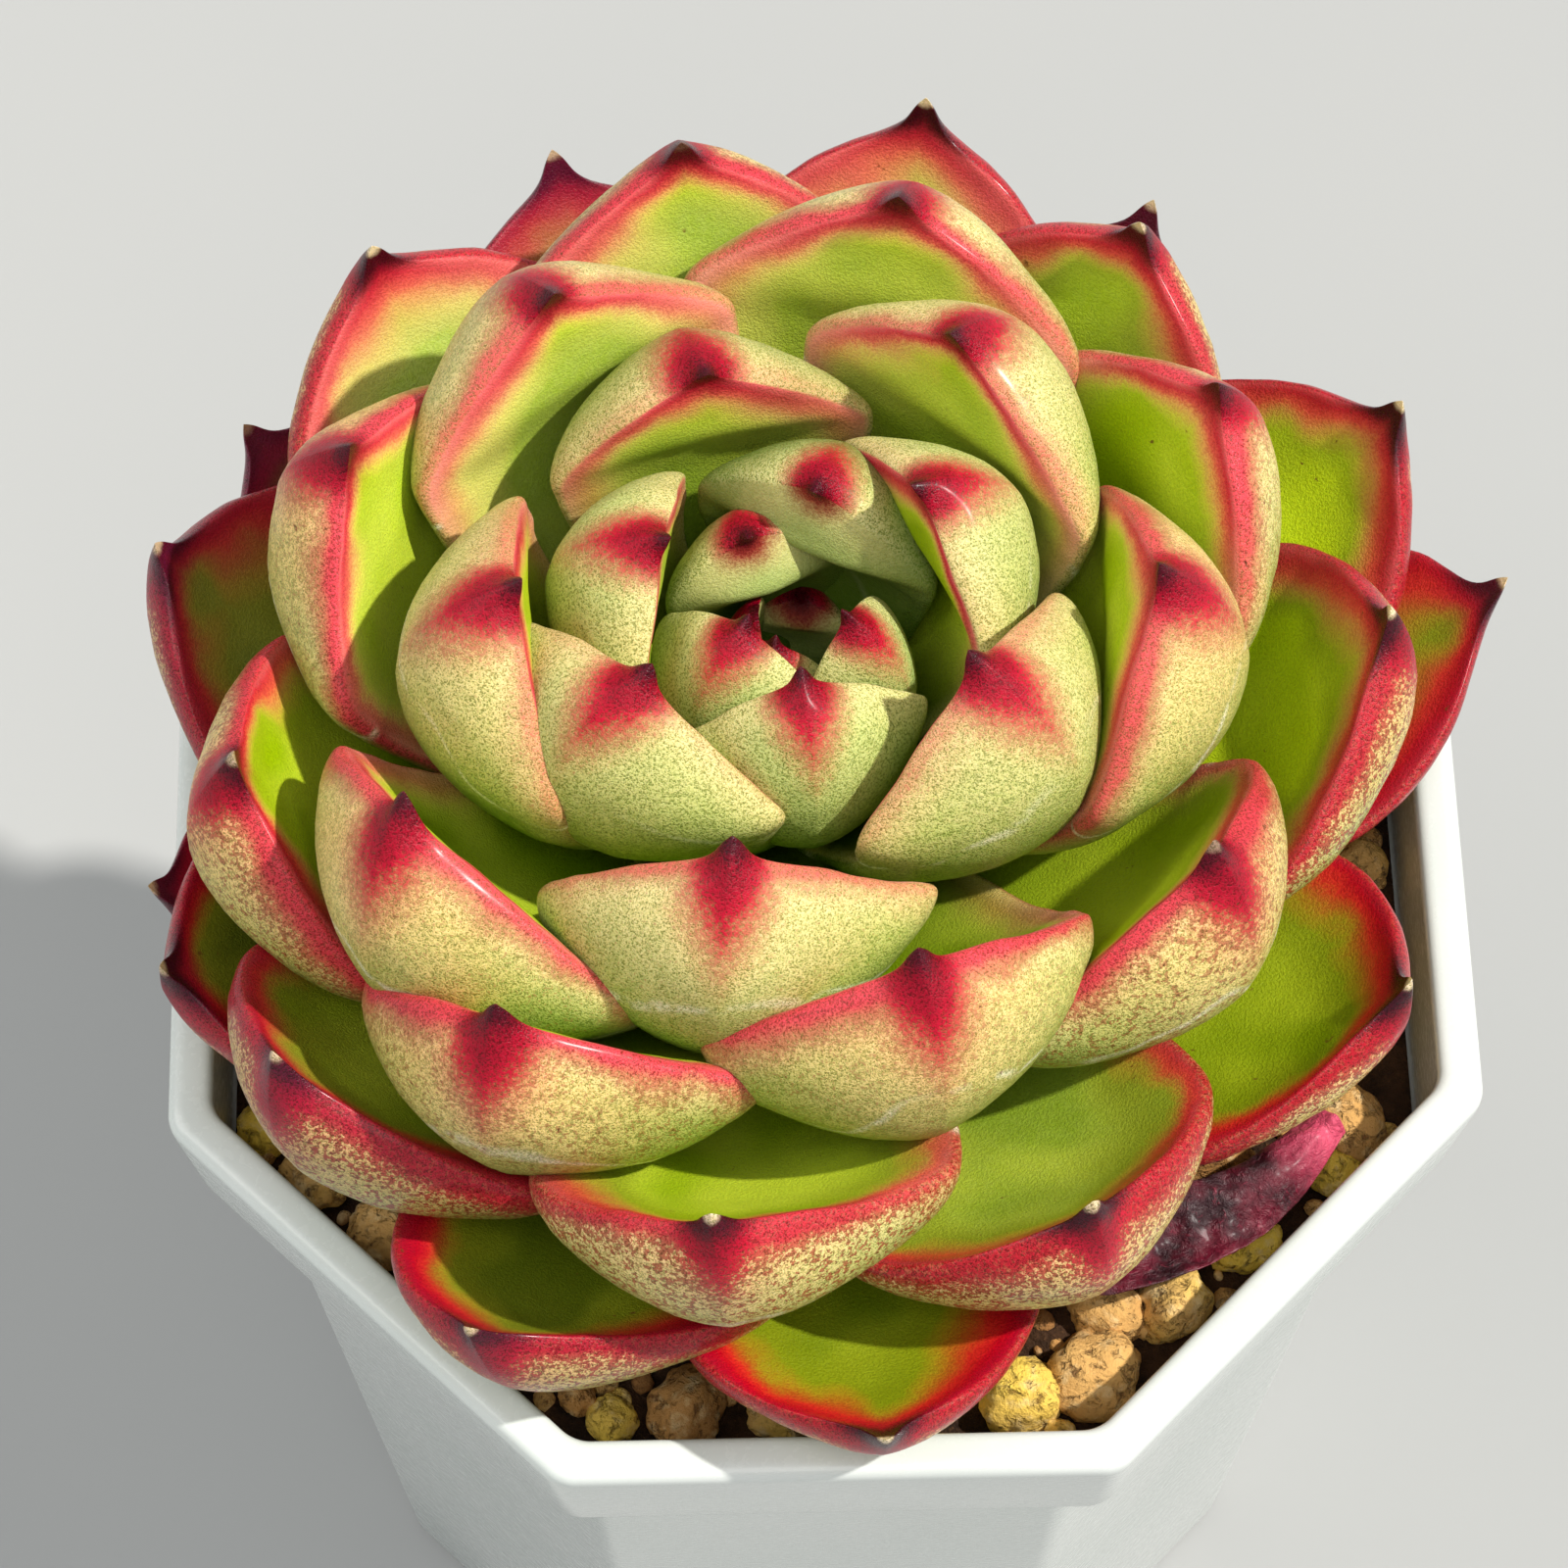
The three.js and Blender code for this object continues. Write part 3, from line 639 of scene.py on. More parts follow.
def leaf_material(name, coat):
    g = Graph(name)
    edge, tip, keel = g.split("place")
    along, back, side = g.split("shape")
    blush, purple, number = g.split("tint")
    painted_sun, painted_shade, milky_and_sheen = g.split("light")

    # What the rest is made from: the leaf's age, noises of several sizes, and ragged distances.
    age = g.mul(number, 1 / OLDEST_LEAF)
    ripe = g.smooth(age, 0.42, 0.72)
    grown = g.smooth(age, 0.15, 0.46)
    spot = g.spot(shift=number)
    broad = g.noise(spot, 0.12, 1, 0.55)
    patches = g.noise(spot, 0.5, 2, 0.6)
    mottle = g.noise(spot, 1.5, 2, 0.65)
    grain = g.smooth(g.noise(spot, 5.5, 2, 0.65), 0.34, 0.66)
    fine = g.noise(spot, 11.0, 1, 0.6)
    speck = g.smooth(g.noise(spot, 3.0, 2, 0.7), 0.38, 0.62)
    ragged = g.add(g.mul(g.add(patches, -0.5), 1.4), g.mul(g.add(grain, -0.5), 0.35))
    near_tip = g.math("POWER", 2.718, g.mul(tip, -0.14))
    inset = g.add(edge, ragged)

    # The upper face: green, then yellow, cream, pink and red towards the margin.
    fresh = g.mix(g.smooth(broad, 0.36, 0.64), srgb(152, 180, 2), srgb(200, 214, 58))
    dull = g.mix(g.smooth(broad, 0.36, 0.64), srgb(94, 116, 2), srgb(150, 162, 32))
    green = g.mix(g.smooth(age, 0.62, 0.8), fresh, dull)
    # Painted light: a brighter green where the sun falls on the top face.
    green = g.mix(g.mul(painted_sun, 0.85), green, srgb(214, 236, 24))
    # Pale bloom and painted sheen: the top is painted paler and creamier.
    green = g.mix(g.mul(milky_and_sheen, g.smooth(mottle, 0.2, 0.8, 0.5, 0.85)), green, srgb(196, 208, 112))
    # Painted shade: the top face is a darker green towards its base, where the inner leaves shade it.
    green = g.mix(g.smooth(along, 0.1, 0.6, 0.85, 0), green, srgb(76, 110, 2))
    width = g.add(g.add(2.4, g.mul(near_tip, 5.0)), g.mul(g.smooth(blush, 0.3, 1.0), 2.4))
    # The pale border is wider where the painted sheen is.
    width = g.mul(g.mul(width, g.smooth(broad, 0.3, 0.7, 0.6, 1.35)), g.add(1, g.mul(milky_and_sheen, 0.6)))
    border = g.math("DIVIDE", inset, width)
    young = g.ramp(border, [
        (0.0, srgb(232, 96, 108)),
        (0.16, srgb(214, 44, 68)),
        (0.34, srgb(234, 96, 84)),
        (0.54, srgb(238, 176, 100)),
        (0.78, srgb(214, 210, 70)),
        (1.0, srgb(184, 206, 30)),
    ])
    old = g.ramp(border, [
        (0.0, srgb(172, 10, 44)),
        (0.2, srgb(196, 4, 32)),
        (0.38, srgb(214, 40, 34)),
        (0.56, srgb(184, 88, 28)),
        (0.78, srgb(164, 136, 26)),
        (1.0, srgb(132, 142, 16)),
    ])
    fade = g.smooth(g.add(along, g.mul(blush, 0.4)), 0.25, 0.75)
    far = g.smooth(tip, 7, 18, 0, g.smooth(blush, 0.2, 0.7, 0.75, 0.1))
    young = g.mix(far, young, g.mix(g.smooth(edge, 0.2, 2.4), srgb(250, 206, 170), srgb(226, 222, 104)))
    # The border's painted sheen near the tip, pink to cream.
    pale_border_and_sheen = g.mix(g.smooth(border, 0.15, 0.75), srgb(248, 120, 124), srgb(246, 222, 150))
    young = g.mix(g.mul(milky_and_sheen, g.smooth(tip, 2, 9, 0, 0.7)), young, pale_border_and_sheen)
    # Less of the old red where the top has painted sun or painted sheen.
    aged = g.mul(ripe, g.smooth(g.math("MAXIMUM", milky_and_sheen, g.mul(painted_sun, 0.7)), 0, 1, 1, 0.3))
    top = g.mix(g.smooth(border, 0.75, 1.9), g.mix(aged, young, old), green)
    top = g.mix(fade, g.mix(g.smooth(edge, 0.1, 1.6), srgb(222, 222, 120), green), top)

    # The underside: green at the base, pale green and cream towards the tip.
    low = g.mix(age, srgb(96, 132, 14), srgb(140, 160, 40))
    middle = g.mix(age, srgb(156, 184, 86), srgb(198, 204, 122))
    under = g.mix(g.smooth(along, 0.36, 0.84), low, middle)
    under = g.mix(g.smooth(broad, 0.4, 0.7, 0, 0.4), under, srgb(158, 186, 72))
    cream = g.mix(g.smooth(age, 0.1, 0.4), srgb(190, 202, 128), srgb(242, 218, 156))
    wavy = g.add(tip, g.mul(g.add(mottle, -0.5), 8))
    cream = g.mix(g.smooth(blush, 0.3, 0.6), cream, srgb(250, 208, 140))
    under = g.mix(g.smooth(wavy, 4, 19, 0.95, 0), under, cream)
    under = g.mix(g.mul(fade, g.smooth(edge, 0.5, 5.0, 0.5, 0)), under, srgb(244, 222, 164))

    # Pink and red that spread from the tip down the keel and along the margins.
    long = g.math("DIVIDE", tip, g.add(g.smooth(age, 0.05, 0.3, 3.6, 5.4), g.mul(blush, 2.0)))
    wide = g.math("DIVIDE", keel, g.add(g.smooth(age, 0.05, 0.3, 2.8, 4.4), g.mul(blush, 2.4)))
    field = g.math("SUBTRACT", 1.0, g.add(long, wide))
    field = g.add(field, g.mul(g.add(mottle, -0.5), 0.45))
    line = g.add(g.add(0.5, g.mul(near_tip, 1.6)), g.add(g.mul(blush, 0.7), g.mul(ripe, 0.8)))
    line = g.mul(line, g.smooth(broad, 0.3, 0.7, 0.6, 1.3))
    reach = g.smooth(tip, 6, 20, 1, g.smooth(blush, 0.15, 0.6, 0.15, 0.95))
    rim = g.math("DIVIDE", inset, line)
    rim_share = g.mul(g.mul(reach, fade), grown)
    halo = g.math("MAXIMUM", g.smooth(field, -1.1, 0.1),
                  g.mul(g.smooth(rim, 0.5, 3.4, 1, 0), g.mul(rim_share, 0.85)))
    halo = g.mul(halo, g.smooth(ripe, 0, 1, 0.75, 0.4))
    under = g.mix(halo, under, srgb(232, 118, 104))
    flecks = g.mul(g.smooth(mottle, 0.36, 0.66), g.smooth(age, 0.2, 0.65, 0, 0.72))
    dense = g.math("MAXIMUM", g.mul(g.smooth(field, -1.1, 0.2), 0.95), flecks)
    dense = g.math("MAXIMUM", dense, g.mul(g.smooth(rim, 0.7, 3.4, 1, 0), g.mul(rim_share, 0.85)))
    grains = g.mix_value(g.smooth(age, 0.3, 0.7, 0.2, 0.8), grain, speck)
    stipple = g.smooth(g.add(grains, g.add(dense, -1.0)), -0.04, 0.14)
    under = g.mix(g.mul(stipple, g.smooth(ripe, 0, 1, 0.55, 0.85)), under,
                  g.mix(g.smooth(dense, 0.4, 0.9), srgb(138, 60, 34), srgb(180, 18, 40)))
    band = g.mul(g.smooth(rim, 0.55, 1.25, 1, 0), rim_share)
    under = g.mix(g.mul(band, 0.92), under, g.mix(ripe, srgb(222, 62, 82), srgb(178, 6, 38)))
    core = g.add(field, g.mul(g.add(grain, -0.5), 0.24))
    under = g.mix(g.smooth(core, -0.3, 0.2), under, srgb(188, 12, 46))
    under = g.mix(g.smooth(core, 0.1, 0.6), under, srgb(150, 0, 34))

    # Pale lines where the neighbouring leaves once pressed on the underside.
    arc = g.add(g.mul(side, side), g.mul(g.add(broad, -0.5), 0.9))
    press = g.math("ABSOLUTE", g.add(along, g.add(-0.74, g.mul(arc, 0.25))))
    chevron = g.math("ABSOLUTE", g.add(along, g.add(-0.52, g.mul(g.math("ABSOLUTE", side), 0.42))))
    lines = g.add(g.smooth(press, 0.0, 0.02, 0.8, 0), g.smooth(chevron, 0.0, 0.028, 0.6, 0))
    lines = g.mul(lines, g.mul(g.smooth(patches, 0.36, 0.54), g.smooth(tip, 9, 13)))
    under = g.mix(g.mul(lines, 0.75), under, srgb(255, 250, 226))

    # The bud's leaves look alike on both faces.
    top = g.mix(g.smooth(age, 0.15, 0.2, 1, 0), top, under)
    skin = g.mix(back, top, under)

    # Both faces share the dark horn and the crimson round it.
    glow = g.add(tip, g.mul(ragged, 0.9))
    crimson = g.smooth(glow, 1.4, g.add(3.4, g.mul(blush, 2.8)), 1, 0)
    skin = g.mix(g.mul(crimson, 0.95), skin, srgb(152, 0, 34))
    ridge = g.add(glow, g.mul(edge, 1.8))
    inner = g.add(g.add(0.5, g.mul(grown, 0.4)), g.mul(ripe, 1.8))
    outer = g.add(g.add(2.0, g.mul(grown, 0.7)), g.mul(ripe, 4.2))
    maroon = g.smooth(g.mix_value(ripe, glow, ridge), inner, outer, 1, 0)
    skin = g.mix(g.mul(maroon, 0.94), skin, g.mix(ripe, srgb(90, 0, 26), srgb(46, 0, 20)))
    skin = g.mix(g.smooth(tip, 0.3, 1.4, 1, 0), skin, srgb(74, 0, 22))
    dry = g.mul(g.smooth(g.add(tip, g.mul(mottle, 0.5)), 0.7, 1.3, 1, 0), g.smooth(age, 0.5, 0.62))
    skin = g.mix(dry, skin, srgb(232, 206, 176))

    # The oldest leaves turn purple.
    shade = g.mul(purple, g.smooth(g.add(tip, g.mul(broad, 8)), 6, 30, 1, 0.25))
    skin = g.mix(g.mul(shade, 0.75), skin, srgb(112, 26, 62))

    # A few small dry scars, and the grain of the skin.
    scar = g.mul(g.smooth(mottle, 0.66, 0.72), g.smooth(patches, 0.58, 0.64))
    scar = g.mul(scar, g.smooth(age, 0.2, 0.5))
    skin = g.mix(g.mul(scar, 0.8), skin, srgb(110, 60, 30))
    grit = g.add(g.mul(grain, 0.6), g.mul(fine, 0.9))
    grit = g.mul(g.add(grit, -0.75), g.add(0.3, g.mul(back, 0.8)))
    skin = g.mix(1.0, skin, g.ramp(g.add(0.5, grit), [
        (0.0, srgb(138, 152, 108)), (0.5, srgb(234, 238, 222)), (1.0, srgb(255, 255, 255)),
    ]), "MULTIPLY")

    # Painted shade: the bud's leaves that lie in shade are painted a deeper green away from the tip,
    # and the skin is glossier at the margin.
    painted_bud_shade = g.mul(g.smooth(g.add(tip, g.mul(mottle, 2)), 3, 10), painted_shade)
    skin = g.mix(g.mul(painted_bud_shade, 0.85), skin, srgb(60, 92, 4))
    rough = g.add(g.smooth(edge, 0.3, 3.0, 0.28, 0.4), g.mul(g.add(fine, -0.5), 0.25))
    normal = g.bump(g.add(grain, g.mul(fine, 0.4)), 0.6, 0.045)
    return g.finish(
        skin, rough, normal,
        Subsurface_Weight=0.12, Subsurface_Radius=(1.0, 0.7, 0.2), Subsurface_Scale=1.3 * MM,
        Coat_Weight=coat, Coat_Roughness=0.18, Specular_IOR_Level=0.16,
    )


def pot_material():
    g = Graph("pot_plastic")
    spot = g.spot()
    cloud = g.noise(spot, 0.05, 3, 0.5)
    dust = g.noise(spot, 1.2, 4, 0.6)
    scuff = g.noise(g.spot((0.5, 0.5, 4)), 2.5, 3, 0.6, warp=0.6)
    white = g.mix(g.smooth(cloud, 0.35, 0.65), srgb(202, 209, 205), srgb(209, 214, 211))
    white = g.mix(g.smooth(dust, 0.62, 0.78, 0, 0.12), white, srgb(186, 180, 160))
    rough = g.add(0.2, g.add(g.mul(g.smooth(scuff, 0.5, 0.72), 0.12), g.mul(dust, 0.1)))
    normal = g.bump(cloud, 0.12, 0.5)
    normal = g.bump(scuff, 0.08, 0.05, normal)
    return g.finish(white, rough, normal, Coat_Weight=0.25, Coat_Roughness=0.12)


def soil_material():
    g = Graph("soil_crumbs")
    spot = g.spot()
    crumb = g.cells(spot, 0.9)
    damp = g.noise(spot, 0.35, 3, 0.6)
    grit = g.noise(spot, 3.0, 4, 0.65)
    color = g.mix(g.smooth(damp, 0.35, 0.65), srgb(38, 25, 16), srgb(72, 48, 30))
    color = g.mix(g.smooth(grit, 0.58, 0.75, 0, 0.7), color, srgb(112, 78, 46))
    color = g.mix(g.smooth(crumb, 0.0, 0.5, 0.5, 0), color, srgb(54, 36, 24))
    normal = g.bump(g.add(grit, g.mul(crumb, 0.6)), 0.8, 0.6)
    return g.finish(color, 0.92, normal, Specular_IOR_Level=0.25)


def stone_material():
    g = Graph("porous_stone")
    spot = g.spot()
    tone, _, _ = g.split("tone")
    broad = g.noise(spot, 0.22, 2, 0.5)
    patch = g.noise(spot, 0.7, 4, 0.6)
    grit = g.noise(spot, 3.0, 4, 0.7)
    holes = g.noise(spot, 1.1, 3, 0.6, warp=0.5)
    color = g.ramp(g.add(tone, g.mul(g.add(broad, -0.5), 0.4)), [
        (0.0, srgb(132, 88, 48)),
        (0.3, srgb(196, 144, 82)),
        (0.6, srgb(232, 186, 112)),
        (0.85, srgb(250, 214, 84)),
    ])
    color = g.mix(g.smooth(patch, 0.5, 0.72, 0, 0.6), color, srgb(246, 222, 170))
    color = g.mix(g.smooth(holes, 0.3, 0.42, 0.75, 0), color, srgb(92, 52, 24))
    color = g.mix(g.smooth(grit, 0.55, 0.8, 0, 0.5), color, srgb(128, 82, 40))
    normal = g.bump(g.smooth(holes, 0.3, 0.5), 0.8, 0.6)
    normal = g.bump(grit, 0.8, 0.35, normal)
    return g.finish(color, 0.8, normal, Specular_IOR_Level=0.3)


def dried_material():
    g = Graph("dried_skin")
    spot = g.spot()
    along, _, _ = g.split("place")
    broad = g.noise(spot, 0.3, 3, 0.6)
    crease_and_highlight = g.noise(spot, 1.1, 4, 0.7, warp=1.2)
    fine = g.noise(spot, 5.0, 3, 0.6)
    color = g.mix(g.smooth(broad, 0.35, 0.65), srgb(46, 4, 18), srgb(104, 12, 38))
    # Painted highlight: a lighter red on the raised creases.
    color = g.mix(g.smooth(crease_and_highlight, 0.55, 0.75, 0, 0.7), color, srgb(150, 34, 64))
    color = g.mix(g.smooth(along, 0.8, 0.95), color, srgb(214, 76, 108))
    color = g.mix(g.smooth(along, 0.08, 0.3, 1, 0), color, srgb(206, 160, 140))
    color = g.mix(g.smooth(fine, 0.6, 0.8, 0, 0.4), color, srgb(52, 10, 24))
    normal = g.bump(crease_and_highlight, 0.9, 0.5)
    normal = g.bump(fine, 0.4, 0.12, normal)
    return g.finish(color, 0.5, normal, Coat_Weight=0.15, Coat_Roughness=0.3)


def stem_material():
    g = Graph("woody_stem")
    spot = g.spot((1, 1, 2.5))
    rings = g.noise(spot, 0.6, 4, 0.65, warp=0.5)
    fine = g.noise(spot, 3.0, 3, 0.6)
    color = g.mix(g.smooth(rings, 0.35, 0.65), srgb(92, 72, 44), srgb(150, 128, 80))
    color = g.mix(g.smooth(fine, 0.55, 0.75, 0, 0.5), color, srgb(62, 44, 28))
    return g.finish(color, 0.8, g.bump(rings, 0.6, 0.6))


def octagon(width, height, radius, steps=8):
    """One level of the pot: an octagon with rounded corners."""
    ring = []
    reach = (width / 2 - radius) / math.cos(math.pi / 8)
    for corner in range(8):
        facing = math.pi / 8 + corner * math.pi / 4
        for step in range(steps + 1):
            angle = facing + math.pi / 4 * (step / steps - 0.5)
            ring.append((
                reach * math.cos(facing) + radius * math.cos(angle),
                reach * math.sin(facing) + radius * math.sin(angle),
                height,
            ))
    return np.array(ring[::-1])


def rounded(profile, steps=5):
    """A profile of (half width, height, fillet radius) with each corner rounded."""
    out = []
    for i, (x, z, radius) in enumerate(profile):
        here = np.array([x, z], float)
        if radius == 0 or i in (0, len(profile) - 1):
            out.append(here)
            continue
        before = np.array(profile[i - 1][:2], float) - here
        after = np.array(profile[i + 1][:2], float) - here
        before_way = before / np.linalg.norm(before)
        after_way = after / np.linalg.norm(after)
        bend = math.acos(max(-1, min(1, float(before_way @ after_way))))
        cut = radius / math.tan(bend / 2)
        cut = min(cut, 0.45 * np.linalg.norm(before), 0.45 * np.linalg.norm(after))
        p = here + before_way * cut
        q = here + after_way * cut
        for k in range(steps + 1):
            t = k / steps
            out.append((1 - t) ** 2 * p + 2 * t * (1 - t) * here + t * t * q)
    return out


def body_width(height):
    share = height / (POT_HEIGHT - LIP_HEIGHT)
    return BODY_BOTTOM_WIDTH + (BODY_TOP_WIDTH - BODY_BOTTOM_WIDTH) * share


def inner_width(height):
    return body_width(height) - 2 * WALL


def make_pot(material):
    lip_bottom = POT_HEIGHT - LIP_HEIGHT
    profile = [
        (FLOOR_CENTRE, 0, 0),
        (BODY_BOTTOM_WIDTH / 2, 0, 1.2),
        (body_width(lip_bottom) / 2, lip_bottom, 0.8),
        (LIP_BOTTOM_WIDTH / 2, lip_bottom, 0.7),
        (RIM_WIDTH / 2, POT_HEIGHT, 1.1),
        (RIM_INNER_WIDTH / 2, POT_HEIGHT, 0.9),
        (LEDGE_WIDTH / 2, LEDGE_TOP, 0.6),
        (inner_width(LEDGE_BOTTOM) / 2, LEDGE_BOTTOM, 0.6),
        (inner_width(FLOOR_THICKNESS) / 2, FLOOR_THICKNESS, 1.5),
        (FLOOR_CENTRE, FLOOR_THICKNESS, 0),
    ]
    rings = np.stack([
        octagon(2 * x, z, min(CORNER_RADIUS, x * CORNER_SHARE)) for x, z in rounded(profile)
    ])
    mesh = closed_mesh("fine_pot", rings, np.array([0, 0, 0.0]), np.array([0, 0, FLOOR_THICKNESS]))
    pot = add_piece("fine_pot", mesh, material, ["pot"])
    for i in range(4):
        angle = math.pi / 4 + i * math.pi / 2
        drill = bpy.data.meshes.new("drill")
        bm = bmesh.new()
        bmesh.ops.create_cone(
            bm, cap_ends=True, segments=40, radius1=DRAIN_HOLE_RADIUS * MM,
            radius2=DRAIN_HOLE_RADIUS * MM, depth=4 * FLOOR_THICKNESS * MM,
            matrix=Matrix.Translation((
                DRAIN_HOLE_CIRCLE * MM * math.cos(angle),
                DRAIN_HOLE_CIRCLE * MM * math.sin(angle), 0,
            )),
        )
        bm.to_mesh(drill)
        bm.free()
        tool = bpy.data.objects.new("drill", drill)
        bpy.context.scene.collection.objects.link(tool)
        cut = pot.modifiers.new("hole", "BOOLEAN")
        cut.operation = "DIFFERENCE"
        cut.object = tool
        apply_modifiers(pot)
        bpy.data.objects.remove(tool)
    pot.data.set_sharp_from_angle(angle=math.radians(POT_SHARP_ANGLE))


def apply_modifiers(piece):
    graph = bpy.context.evaluated_depsgraph_get()
    made = bpy.data.meshes.new_from_object(piece.evaluated_get(graph))
    piece.modifiers.clear()
    piece.data = made


def cad_tree(node):
    """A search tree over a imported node's mesh, in metres."""
    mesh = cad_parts[node].data
    verts = [v.co.copy() for v in mesh.vertices]
    return BVHTree.FromPolygons(verts, [tuple(p.vertices) for p in mesh.polygons])


def from_axis(x, y):
    """Distance from the rosette's axis, seen from above."""
    return math.hypot(x - ROSETTE_AXIS[0], y - ROSETTE_AXIS[1])


def inside_octagon(x, y, width):
    return all(
        x * math.cos(k * math.pi / 4) + y * math.sin(k * math.pi / 4) <= width / 2 for k in range(8)
    )


def stone_places():
    """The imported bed's stones, found by the same seeded rule that placed them there."""
    top = POT_HEIGHT - BEDDING_DEPTH
    tree = cad_tree("gravel")
    draw = seeded_random(STONE_SEED)
    placed = []

    def place(x, y, radius):
        for _ in range(STONE_DRAWS):
            draw()
        hit = tree.ray_cast(Vector((x, y, POT_HEIGHT + 30)) * MM, Vector((0, 0, -1)))[0]
        if hit is not None and hit.z / MM > top + 0.5 * radius:
            placed.append((x, y, top + STONE_RISE * radius, radius))

    for stone in FRONT_STONES:
        place(*stone)
    for _ in range(STONE_TRIES):
        if len(placed) >= STONE_COUNT:
            break
        radius = STONE_RADIUS[0] + (STONE_RADIUS[1] - STONE_RADIUS[0]) * draw()
        x = (draw() - 0.5) * RIM_INNER_WIDTH
        y = (draw() - 0.5) * RIM_INNER_WIDTH
        crowded = any(math.hypot(x - p[0], y - p[1]) < STONE_SPACING for p in placed)
        in_pot = inside_octagon(x, y, RIM_INNER_WIDTH - STONE_WALL_SHARE * radius)
        if not crowded and from_axis(x, y) >= STONE_FREE_RADIUS and in_pot:
            place(x, y, radius)
    return placed


def lumpy(bm_out, centre, size, rng, detail, rough, tone, layer):
    """Adds one rough stone to a mesh that is being built. Its tone was drawn before its shape."""
    bm = bmesh.new()
    bmesh.ops.create_icosphere(bm, subdivisions=detail, radius=1)
    turn = Matrix.Rotation(rng.uniform(0, 6.3), 3, "Z") @ Matrix.Rotation(rng.uniform(0, 6.3), 3, "X")
    stretch = Vector((rng.uniform(0.9, 1.15), rng.uniform(0.85, 1.05), rng.uniform(0.75, 0.95)))
    seed = Vector((rng.uniform(0, 90), rng.uniform(0, 90), rng.uniform(0, 90)))
    for v in bm.verts:
        way = v.co.normalized()
        swell = 1 + 0.2 * noise.noise(way * 1.3 + seed) + 0.1 * noise.noise(way * 3.1 + seed)
        swell += rough * noise.noise(way * 7.0 + seed) + 0.6 * rough * noise.noise(way * 15 + seed)
        v.co = turn @ Vector(a * b for a, b in zip(way * swell, stretch))
        v.co = v.co * size + centre
    index = {}
    for v in bm.verts:
        made = bm_out.verts.new(v.co * MM)
        made[layer] = Vector((tone, 0, 0))
        index[v] = made
    for f in bm.faces:
        bm_out.faces.new([index[v] for v in f.verts])
    bm.free()


def stone_mesh():
    """An empty mesh for stones, with the layer that holds each one's tone."""
    bm = bmesh.new()
    return bm, bm.verts.layers.float_vector.new("tone")


def add_stones(name, bm, material):
    mesh = bpy.data.meshes.new(name)
    bm.to_mesh(mesh)
    bm.free()
    mesh.shade_smooth()
    add_piece(name, mesh, material, ["gravel"])


def make_gravel(stone, soil):
    rng = random.Random(STONE_LOOKS_SEED)
    bm, layer = stone_mesh()
    for x, y, z, radius in stone_places():
        tone = rng.uniform(*STONE_TONES)
        size = radius * STONE_SHRINK
        lumpy(bm, Vector((x, y, z)), size, rng, STONE_DETAIL, STONE_ROUGHNESS, tone, layer)
    add_stones("fine_stones", bm, stone)

    # Small grit between the stones.
    bm, layer = stone_mesh()
    top = POT_HEIGHT - BEDDING_DEPTH
    made = 0
    while made < GRIT_COUNT:
        x, y = rng.uniform(-GRIT_FIELD, GRIT_FIELD), rng.uniform(-GRIT_FIELD, GRIT_FIELD)
        size = rng.uniform(*GRIT_SIZE)
        if inside_octagon(x, y, LEDGE_WIDTH - GRIT_WALL_GAP) and from_axis(x, y) > GRIT_FREE_RADIUS:
            tone = rng.uniform(*GRIT_TONES)
            place = Vector((x, y, top + GRIT_RISE * size))
            lumpy(bm, place, size, rng, GRIT_DETAIL, GRIT_ROUGHNESS, tone, layer)
            made += 1
    add_stones("fine_grit", bm, stone)

    # The crumbly bed itself, from its underside up over its edge to an uneven top.
    width = LEDGE_WIDTH - FILLING_INSET
    foot = POT_HEIGHT - SOIL_DEPTH + SEAT_GAP
    rings = [
        even_octagon(inner_width(foot) - FILLING_INSET, foot),
        even_octagon(width, LEDGE_TOP + SEAT_GAP),
    ]
    for share in np.linspace(1, 0.02, BED_RINGS):
        ring = even_octagon(width, top)
        ring[:, :2] *= share
        lumps = sum(height * wobble(ring, scale, seed) for height, scale, seed in BED_LUMPS)
        ring[:, 2] += lumps * min(1, (1 - share) * 12)
        rings.append(ring)
    bed = closed_mesh("fine_bed", np.stack(rings), np.array([0, 0, foot]), np.array([0, 0, top]))
    add_piece("fine_bed", bed, soil, ["gravel"])


def even_octagon(width, height, count=240):
    """A rounded octagon with evenly spaced points."""
    ring = octagon(width, height, CORNER_RADIUS)
    closed = np.concatenate([ring, ring[:1]])
    gone = np.concatenate([[0], np.cumsum(np.linalg.norm(np.diff(closed, axis=0), axis=1))])
    at = np.linspace(0, gone[-1], count + 1)[:-1]
    return np.stack([np.interp(at, gone, closed[:, k]) for k in range(3)], 1)


